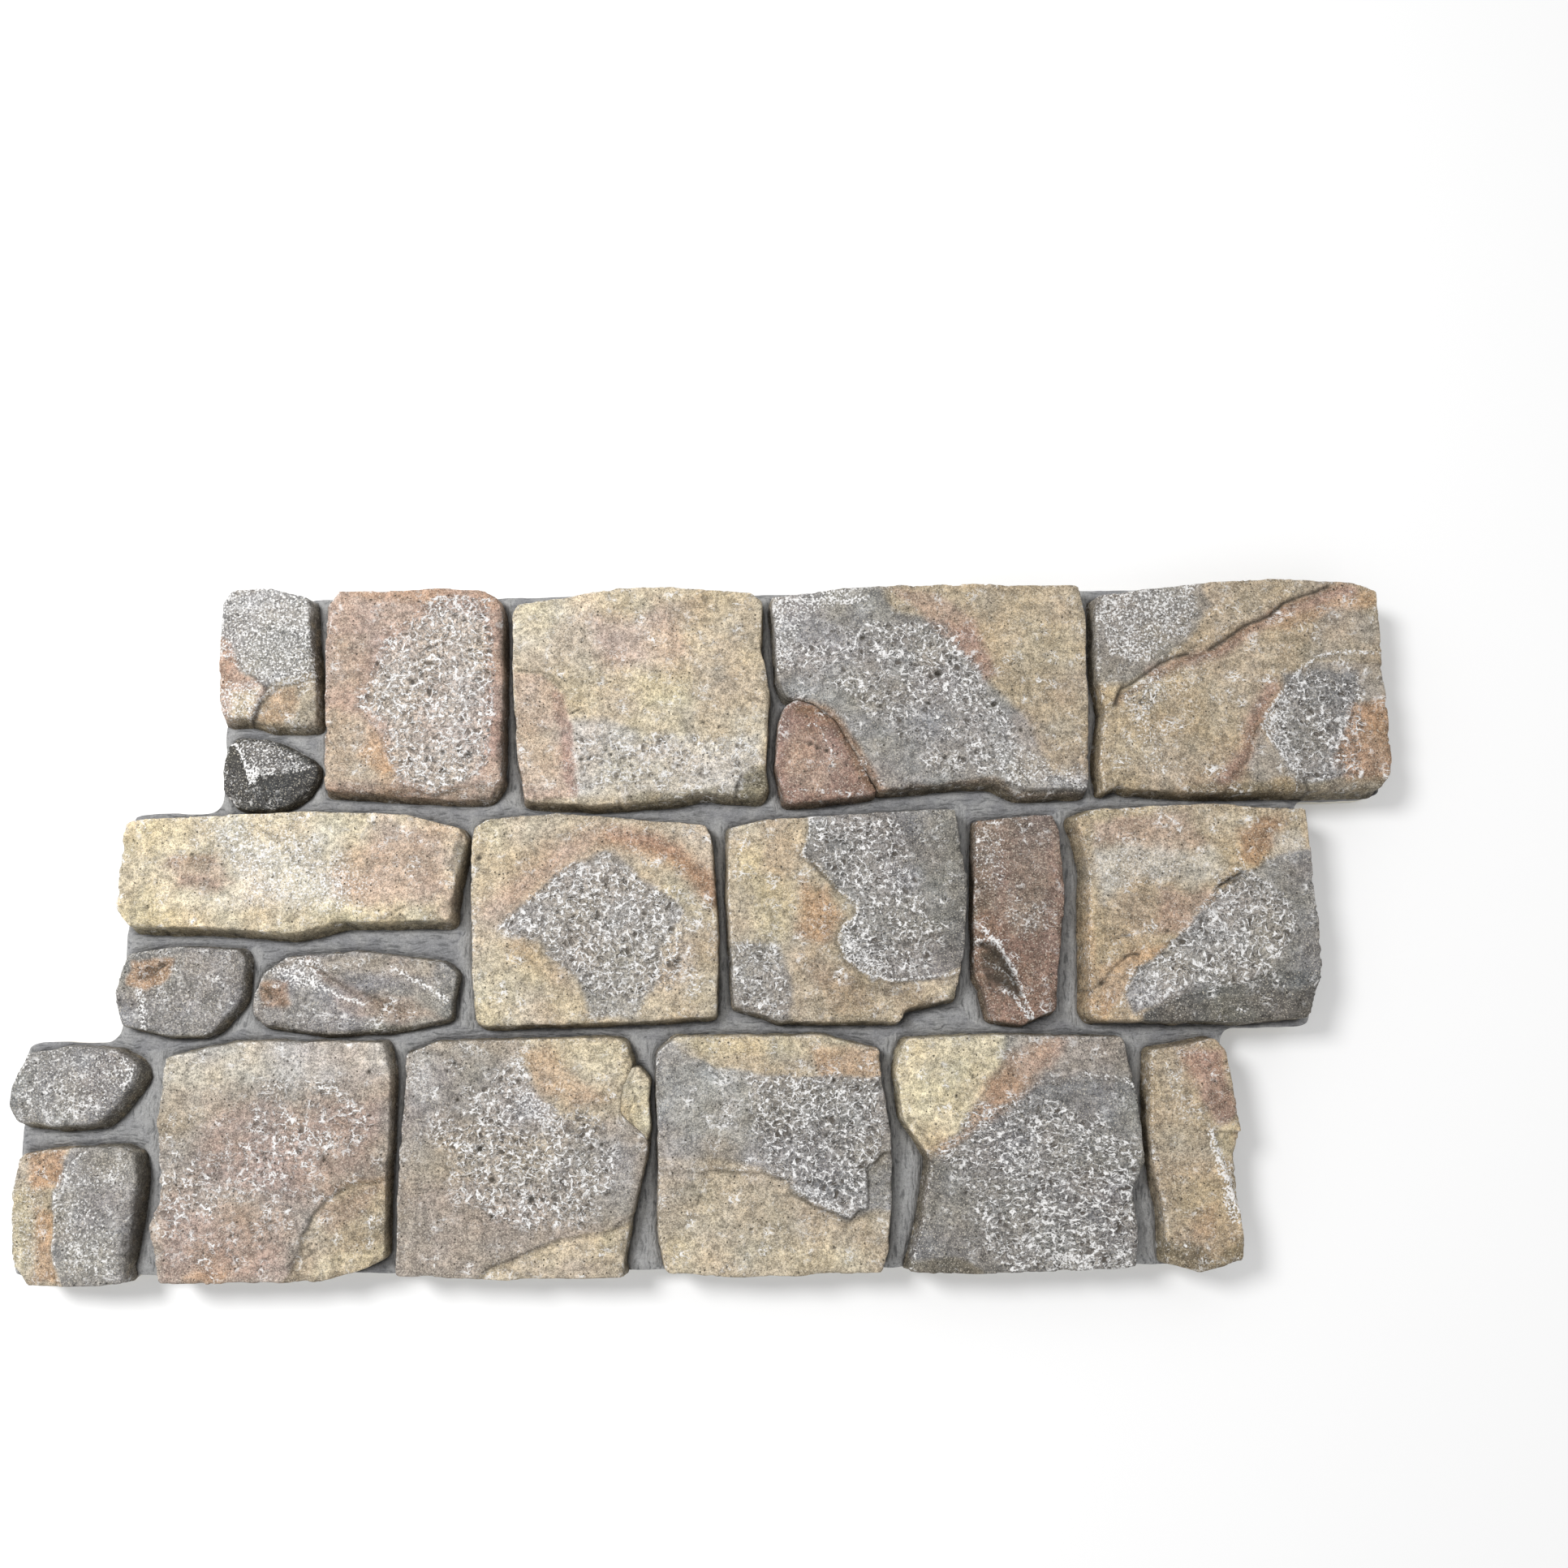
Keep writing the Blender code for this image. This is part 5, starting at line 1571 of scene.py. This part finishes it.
def pitted_net() -> bpy.types.NodeTree:
    """Make the net of thin ridges round small pits.

    Returns:
        A group that turns shares of pits and of streaks into ridges, hollows and height.
    """
    nodes, given, out = new_group("pitted_net", ("Pitted", "Streaked"),
                                 ("Ridge", "Veil", "Crust", "Hollow", "Height"))
    place = nodes.place()
    total = nodes.math('ADD', given.outputs["Pitted"], given.outputs["Streaked"], clamp=True)
    streaked_share = nodes.math('DIVIDE', given.outputs["Streaked"], nodes.math('MAXIMUM', total, 0.01),
                                clamp=True)
    pushed = nodes.wavered(nodes.wavered(place, 75.0, 0.012), 330.0, 0.0032)
    rooms = nodes.add("ShaderNodeTexVoronoi", Vector=pushed, Scale=132.0).outputs
    to_wall = {"feature": 'DISTANCE_TO_EDGE'}
    walls = nodes.add("ShaderNodeTexVoronoi", to_wall, Vector=pushed, Scale=132.0).outputs[0]
    turned = nodes.stretched(pushed, (0.36, 1.1, 1.0), 32)
    drawn = nodes.add("ShaderNodeTexVoronoi", to_wall, Vector=turned, Scale=165.0).outputs[0]
    flowing = nodes.stretched(nodes.wavered(place, 110.0, 0.007), (0.50, 1.0, 1.0), -8)
    ropes = nodes.math('ABSOLUTE', nodes.minus(nodes.noise(flowing, 240.0, 1.5), 0.5))
    gap = nodes.between(streaked_share, walls, drawn)
    width = nodes.ease(nodes.noise(place, 230.0, 3.0), 0.40, 0.64, -0.04, 0.11)
    walled = nodes.ease(nodes.minus(gap, width), 0.03, -0.03)
    roped = nodes.times(nodes.ease(ropes, 0.040, 0.010),
                        nodes.ease(nodes.noise(place, 90.0, 3.0), 0.40, 0.54))
    ridge = nodes.math('MAXIMUM', walled, roped)
    fresh = nodes.plus(nodes.noise(place, 70.0, 4.0), nodes.times(total, 0.34))
    keep = nodes.ease(fresh, 0.50, 0.74)
    broken = nodes.ease(nodes.noise(place, 480.0), 0.34, 0.50, 0.45, 1.0)
    there = nodes.times(nodes.ease(fresh, 0.44, 0.66), nodes.ease(total, 0.0, 0.6))
    dust = nodes.ease(nodes.noise(place, 420.0, 4.0), 0.40, 0.66)
    crust = nodes.ease(nodes.noise(pushed, 430.0, 3.0), 0.34, 0.64, -0.55, 0.34)
    mouth = nodes.ease(rooms["Distance"], 0.46, 0.16)
    deep = nodes.times(mouth, nodes.ease(nodes.parts(rooms["Color"])[0], 0.42, 0.88, 0.14, 1.0))
    sunk = nodes.times(deep, there)
    raised = nodes.times(nodes.math('MAXIMUM', ridge, nodes.ease(gap, 0.30, 0.0, 0.0, 0.6)), there)
    nodes.give(out, Ridge=nodes.times(nodes.times(ridge, keep), broken), Veil=nodes.times(there, dust),
               Crust=nodes.math('MULTIPLY_ADD', crust, there, 1.0), Hollow=sunk,
               Height=nodes.minus(nodes.times(raised, 0.8), nodes.times(sunk, 1.1)))
    return nodes.tree


@dataclass(frozen=True)
class StoneFinish:
    """Layered paint of the stones: brushed colours, dry white on ridges, dark wash in hollows, and painted
    shade and highlight carried in the wear layer.
    """

    white: Colour = (0.86, 0.85, 0.84, 1.0)
    pale: Colour = (0.72, 0.66, 0.55, 1.0)
    veil: Colour = (0.47, 0.43, 0.41, 1.0)
    wash: Colour = (0.075, 0.062, 0.050, 1.0)
    # Dark colour of the specks, and of the dark layer: dark wash and painted shade.
    dirt: Colour = (0.032, 0.026, 0.018, 1.0)
    strength: float = 0.86
    roughness: float = 0.86
    shine: float = 0.35

    def material(self, grain: bpy.types.NodeTree, net: bpy.types.NodeTree) -> bpy.types.Material:
        """Build the material.

        Args:
            grain: the sand grain group.
            net: the pitted net group.

        Returns:
            The stones' material.
        """
        finish, nodes, shader = new_finish("painted_stone")
        place = nodes.place()
        paint = nodes.add("ShaderNodeAttribute", {"attribute_name": "paint"}).outputs["Color"]
        wear = nodes.add("ShaderNodeAttribute", {"attribute_name": "wear"}).outputs
        pitted_share, chalk_and_highlight_share, darkening_share = list(nodes.parts(wear["Color"]))[:3]
        sand = nodes.add("ShaderNodeGroup", {"node_tree": grain}).outputs
        pits = nodes.add("ShaderNodeGroup", {"node_tree": net}, Pitted=pitted_share,
                         Streaked=wear["Alpha"]).outputs
        cloudy = nodes.ease(nodes.noise(place, 26.0, 4.0), 0.25, 0.75, 0.84, 1.16)
        blotch = nodes.ease(nodes.noise(place, 130.0, 4.0), 0.30, 0.70, 0.72, 1.28)
        shade = nodes.times(nodes.times(cloudy, blotch), sand["Shade"])
        shade = nodes.times(shade, nodes.times(pits["Crust"], self.strength))
        # Dry white flecks; where the chalk channel holds the rims' painted highlight, they paint that
        # highlight too.
        flecks = nodes.plus(nodes.noise(place, 520.0, 4.0), nodes.times(chalk_and_highlight_share, 0.24))
        dusty = nodes.times(nodes.ease(flecks, 0.60, 0.74), nodes.ease(chalk_and_highlight_share, 0.0, 0.4))
        colour = nodes.scaled(paint, shade)
        for share, strength, coat in (
            (sand["Pale"], 0.48, self.pale),
            (pits["Veil"], 0.22, self.veil),
            (pits["Hollow"], 0.88, self.wash),
            (dusty, 0.88, self.white),
            (pits["Ridge"], 0.92, self.white),
            (sand["Speck"], 0.80, self.dirt),
            # Dark layer: dark wash in cracks and pits, and painted shade on walls and edges away from the
            # light.
            (darkening_share, 0.92, self.dirt),
        ):
            colour = nodes.mix(nodes.times(share, strength), colour, coat)
        dull = nodes.ease(nodes.noise(place, 260.0), 0.3, 0.7, self.roughness - 0.1, 0.97)
        height = nodes.plus(nodes.times(sand["Height"], 0.75), pits["Height"])
        height = nodes.plus(height, nodes.times(dusty, 0.18))
        nodes.give(shader, Base_Color=colour, Roughness=dull, Specular_IOR_Level=self.shine,
                   Normal=nodes.bump(height, 1.0))
        return finish


@dataclass(frozen=True)
class MortarFinish:
    """Trowelled grey mortar with painted shade round the stones and painted light in the upright joints, and
    bare pale foam towards the back.
    """

    mortar: Colour = (0.235, 0.236, 0.245, 1.0)
    pale: Colour = (0.38, 0.378, 0.37, 1.0)
    dark: Colour = (0.030, 0.028, 0.024, 1.0)
    foam: Colour = (0.70, 0.67, 0.58, 1.0)
    damp: Colour = (0.075, 0.078, 0.080, 1.0)
    dry: Colour = (0.42, 0.42, 0.41, 1.0)
    shine: float = 0.35

    def material(self, grain: bpy.types.NodeTree) -> bpy.types.Material:
        """Build the material.

        Args:
            grain: the sand grain group.

        Returns:
            The bed's material.
        """
        finish, nodes, shader = new_finish("mortar")
        place = nodes.place()
        wear = nodes.add("ShaderNodeAttribute", {"attribute_name": "wear"}).outputs["Color"]
        upright_share, bare_share, darkening_share = list(nodes.parts(wear))[:3]
        sand = nodes.add("ShaderNodeGroup", {"node_tree": grain}).outputs
        pushed = nodes.wavered(place, 60.0, 0.008)
        along = nodes.noise(nodes.stretched(pushed, (0.16, 1.0, 1.0)), 420.0, 3.0)
        upright = nodes.noise(nodes.stretched(pushed, (1.0, 0.16, 1.0)), 420.0, 3.0)
        trowel = nodes.between(upright_share, along, upright)
        cloud = nodes.noise(place, 60.0, 3.0)
        colour = nodes.mix(nodes.ease(cloud, 0.35, 0.70, 0.0, 0.55), self.mortar, self.pale)
        # Painted light: the upright joints are painted paler, standing in for light reaching between stones
        # side by side.
        colour = nodes.mix(nodes.times(upright_share, 0.55), colour, self.pale)
        colour = nodes.mix(nodes.ease(trowel, 0.50, 0.30, 0.0, 0.65), colour, self.damp)
        colour = nodes.mix(nodes.ease(trowel, 0.58, 0.72, 0.0, 0.35), colour, self.dry)
        colour = nodes.mix(0.4, colour, nodes.scaled(colour, sand["Shade"]))
        colour = nodes.mix(nodes.times(sand["Speck"], 0.25), colour, self.dark)
        # Painted shade: the crevice round each stone, and the mortar right of and below a stone, darkened.
        colour = nodes.mix(nodes.times(darkening_share, 0.85), colour, self.dark)
        bare = nodes.plus(bare_share, nodes.times(nodes.noise(place, 240.0, 3.0), 0.5))
        colour = nodes.mix(nodes.ease(bare, 0.55, 0.95), colour, self.foam)
        height = nodes.plus(nodes.times(trowel, 1.6), nodes.times(sand["Height"], 0.25))
        nodes.give(shader, Base_Color=colour, Roughness=nodes.ease(trowel, 0.3, 0.7, 0.78, 0.95),
                   Specular_IOR_Level=self.shine, Normal=nodes.bump(height, 0.8))
        return finish


@dataclass(frozen=True)
class FloorFinish:
    """Plain pale studio floor."""

    colour: Colour = (0.93, 0.93, 0.93, 1.0)

    def material(self) -> bpy.types.Material:
        """Build the floor's material."""
        finish, nodes, shader = new_finish("studio_floor")
        nodes.give(shader, Base_Color=self.colour, Roughness=0.9, Specular_IOR_Level=0.0)
        return finish


# Sub-assemblies


@dataclass(frozen=True)
class MortarBed:
    """The stepped bed that the stones stand out of, down to the flat back.

    Attributes:
        reach: how much wider than its stone a filled foot is.
        below: height of the underside before it is cut flat.
        far: distance from any stone that counts as open joint.
        room: how far round a stone the joint is worked.
        covered: depth under a stone where the bed no longer shows.
        sunk: how far the bed lies lower there.
    """

    reach: float = 2.4 * MM
    below: float = -4.0 * MM
    far: float = 50.0 * MM
    room: float = 30.0 * MM
    covered: float = 8.0 * MM
    sunk: float = 3.0 * MM

    def outline(self) -> np.ndarray:
        """Give the stepped outline of the bed, clockwise."""
        left, right = [], []
        last = len(COURSES) - 1
        for row in range(last + 1):
            start, low = course_start(row)
            for level in (low + (BED_INSET if row == 0 else 0),
                          low + COURSE_HEIGHT - (BED_INSET if row == last else 0)):
                left.append((start + BED_INSET, level))
                right.append((start + COURSE_LENGTH - BED_INSET, level))
        return np.array(left + right[::-1])

    def ragged(self) -> np.ndarray:
        """Round the bed's corners and wear its sides back unevenly."""
        edge = softened(self.outline(), 0.014, 0.003)
        along = np.roll(edge, -2, axis=0) - np.roll(edge, 2, axis=0)
        inward = np.column_stack([along[:, 1], -along[:, 0]]) / lengths(along)[:, None]
        worn = np.clip(0.8 + rough(edge, 0.045, 531) * 1.6 + rough(edge, 0.012, 541) * 0.7, 0.1, 4)
        return edge + inward * worn[:, None] * MM

    def build(self, laid: list[tuple[Stone, Cell]], finish: bpy.types.Material) -> bpy.types.Object:
        """Model and paint the bed.

        Args:
            laid: the stones and their cells.
            finish: the bed's material.

        Returns:
            The finished bed.
        """
        whole = prism("mortar_bed", self.ragged(), self.below, BED_THICKNESS)
        feet, outlines = [], []
        for stone, cell in laid:
            outline = softened(cell.at(stone.outline), 0.0065, 0.004)
            outlines.append((outline, stone.spread))
            away = outline - outline.mean(axis=0)
            wider = outline + away / lengths(away)[:, None] * self.reach
            feet.append(prism("foot", wider, self.below, BED_THICKNESS - 0.8 * MM))
        rest_selection()
        for foot in feet:
            foot.select_set(True)
        whole.select_set(True)
        bpy.context.view_layer.objects.active = whole
        bpy.ops.object.join()
        remeshed(whole, BED_NET)
        cut_below(whole, 0.0)
        self.trowel(whole, outlines)
        give_finish(whole, finish)
        return whole

    def trowel(self, whole: bpy.types.Object, outlines: list[tuple[np.ndarray, tuple]]) -> None:
        """Draw the mortar along the joints and store its paint, with painted shade round the stones.

        Args:
            whole: the bed's mesh object.
            outlines: the stones' outlines, each with how far its sides spread.
        """
        rows = places(whole)
        plan = rows[:, :2].copy()
        gap = np.full(len(plan), self.far)
        way = np.zeros_like(plan)
        for outline, spread in outlines:
            low, high = outline.min(axis=0) - self.room, outline.max(axis=0) + self.room
            near = np.flatnonzero(np.all((plan > low) & (plan < high), axis=1))
            distance, away = to_line(plan[near], outline, True)
            beyond = ~within(plan[near], outline)
            slope = flare(away / lengths(away)[:, None], spread)
            distance = np.where(beyond, distance - slope * 0.7 * MM, -distance)
            closer = distance < gap[near]
            gap[near[closer]] = distance[closer]
            way[near[closer]] = away[closer] * np.where(beyond[closer], 1, -1)[:, None]
        top = rows[:, 2] > BED_THICKNESS - 0.004
        hidden = top & (gap < -self.covered)
        swell = rough(plan, 0.035, 501) * 1.3 + rough(plan, 0.012, 517, 4) * 0.8
        crease = bell(np.clip(gap, 0, None), 2.0 * MM) * 4.0
        heap = eased(0.002, 0.010, gap) * 1.4
        brink = np.clip(1 - inset(plan, self.outline()) / 0.009, 0, 1) ** 1.6 * (4.5 + 2.5 * swell)
        level = BED_THICKNESS + (swell - crease + heap + 1.6 - brink) * MM
        rows[:, 2] = np.where(top, level, rows[:, 2])
        rows[hidden, 2] = BED_THICKNESS - self.sunk
        rows = in_box(rows)
        rows[:, 2] = np.where(places(whole)[:, 2] < 1e-5, 0.0, rows[:, 2])
        set_places(whole, rows)
        wear = np.zeros((len(rows), 4))
        wear[:, 0] = eased(-0.1, 0.1, np.abs(way[:, 0]) / lengths(way) - 0.7)
        wear[:, 1] = eased(0.016, 0.004, rows[:, 2]) * (~top)
        # Painted shade in channel 2: a dark band in the crevice round each stone, wider and darker right of
        # and below it where the stone's shadow falls; faces below the top get a flat 0.25.
        shadow_side = np.clip((way[:, 0] * 0.7 - way[:, 1] * 0.7) / lengths(way), 0, 1)
        crevice_shade = bell(np.clip(gap, 0, None), 0.0010 + 0.0014 * shadow_side)
        wear[:, 2] = np.where(top, crevice_shade * (0.40 + 0.55 * shadow_side), 0.25)
        keep_layer(whole, "wear", wear)
        self.thin_out(whole, hidden)

    def thin_out(self, whole: bpy.types.Object, hidden: np.ndarray) -> None:
        """Join the small faces that the stones cover.

        Args:
            whole: the bed's mesh object.
            hidden: which vertices the stones cover.
        """
        corners = np.empty(len(whole.data.loops), dtype=np.int64)
        whole.data.loops.foreach_get("vertex_index", corners)
        starts = np.empty(len(whole.data.polygons), dtype=np.int64)
        whole.data.polygons.foreach_get("loop_start", starts)
        covered = np.minimum.reduceat(hidden[corners].astype(int), starts).astype(bool)
        bpy.context.view_layer.objects.active = whole
        bpy.ops.object.mode_set(mode='EDIT')
        bpy.ops.mesh.select_mode(type='FACE')
        bpy.ops.mesh.select_all(action='DESELECT')
        bpy.ops.object.mode_set(mode='OBJECT')
        whole.data.polygons.foreach_set("select", covered)
        bpy.ops.object.mode_set(mode='EDIT')
        bpy.ops.mesh.dissolve_limited(angle_limit=math.radians(0.5))
        bpy.ops.object.mode_set(mode='OBJECT')


@dataclass(frozen=True)
class Studio:
    """Floor, lights and camera."""

    camera_place: tuple[float, float, float] = (-0.0130, -0.0881, 1.1598)
    pitch: float = 8.72
    roll: float = 0.656
    lens: float = 29.642
    shift: tuple[float, float] = (0.0546, 0.0246)
    key_place: tuple[float, float, float] = (-1.55, 0.85, 2.25)
    key_size: float = 0.9
    key_power: float = 54.0
    fill: float = 0.72
    floor_size: float = 40.0
    floor_level: float = -0.4 * MM

    def floor(self) -> None:
        """Lay the floor."""
        rest_selection()
        bpy.ops.mesh.primitive_plane_add(size=self.floor_size, location=(0, 0, self.floor_level))
        bpy.ops.object.transform_apply(location=True, rotation=False, scale=False)
        item = bpy.context.object
        item.name = "floor"
        item.data.materials.append(FloorFinish().material())

    def lights(self) -> None:
        """Hang the large soft light at the upper left and fill the room."""
        rest_selection()
        bpy.ops.object.light_add(type='AREA', location=self.key_place)
        key = bpy.context.object
        key.name = "key_light"
        key.data.shape = 'DISK'
        key.data.size = self.key_size
        key.data.energy = self.key_power
        key.rotation_euler = (Vector((0.0, 0.0, 0.0)) - key.location).to_track_quat('-Z', 'Y').to_euler()
        world = bpy.data.worlds.new("studio")
        world.use_nodes = True
        background = world.node_tree.nodes["Background"]
        background.inputs["Color"].default_value = (1.0, 1.0, 1.0, 1.0)
        background.inputs["Strength"].default_value = self.fill
        bpy.context.scene.world = world

    def camera(self) -> None:
        """Stand the camera where the photograph was taken."""
        pitch, roll = math.radians(self.pitch), math.radians(self.roll)
        forward = Vector((0, math.sin(pitch), -math.cos(pitch)))
        level_right = Vector((1, 0, 0))
        level_up = level_right.cross(forward)
        right = level_right * math.cos(roll) - level_up * math.sin(roll)
        up = level_up * math.cos(roll) + level_right * math.sin(roll)
        turn = Matrix((right, up, -forward)).transposed().to_4x4()
        lens = bpy.data.cameras.new("camera")
        lens.lens = self.lens
        lens.sensor_width = 36.0
        lens.shift_x, lens.shift_y = self.shift
        item = bpy.data.objects.new("camera", lens)
        item.matrix_world = Matrix.Translation(self.camera_place) @ turn
        bpy.context.scene.collection.objects.link(item)
        bpy.context.scene.camera = item


def main() -> None:
    """Build the studio and the panel, and report each piece."""
    logging.basicConfig(level=logging.INFO, format="%(message)s")
    bpy.context.scene.view_settings.view_transform = 'Standard'
    studio = Studio()
    studio.floor()
    studio.lights()
    studio.camera()
    grain = sand_grain()
    stone_finish = StoneFinish().material(grain, pitted_net())
    laid = cells()
    bed = MortarBed().build(laid, MortarFinish().material(grain))
    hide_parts("stone_panel")
    pieces = [bed]
    for number, (stone, cell) in enumerate(laid):
        piece = stone.build(cell, FIRST_SEED + number * SEED_STEP, stone_finish)
        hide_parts("stone_panel")
        pieces.append(piece)
    for piece in pieces:
        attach(piece, "root")
        log.info("%s: %d faces", piece.name, len(piece.data.polygons))


if __name__ == "__main__":
    main()
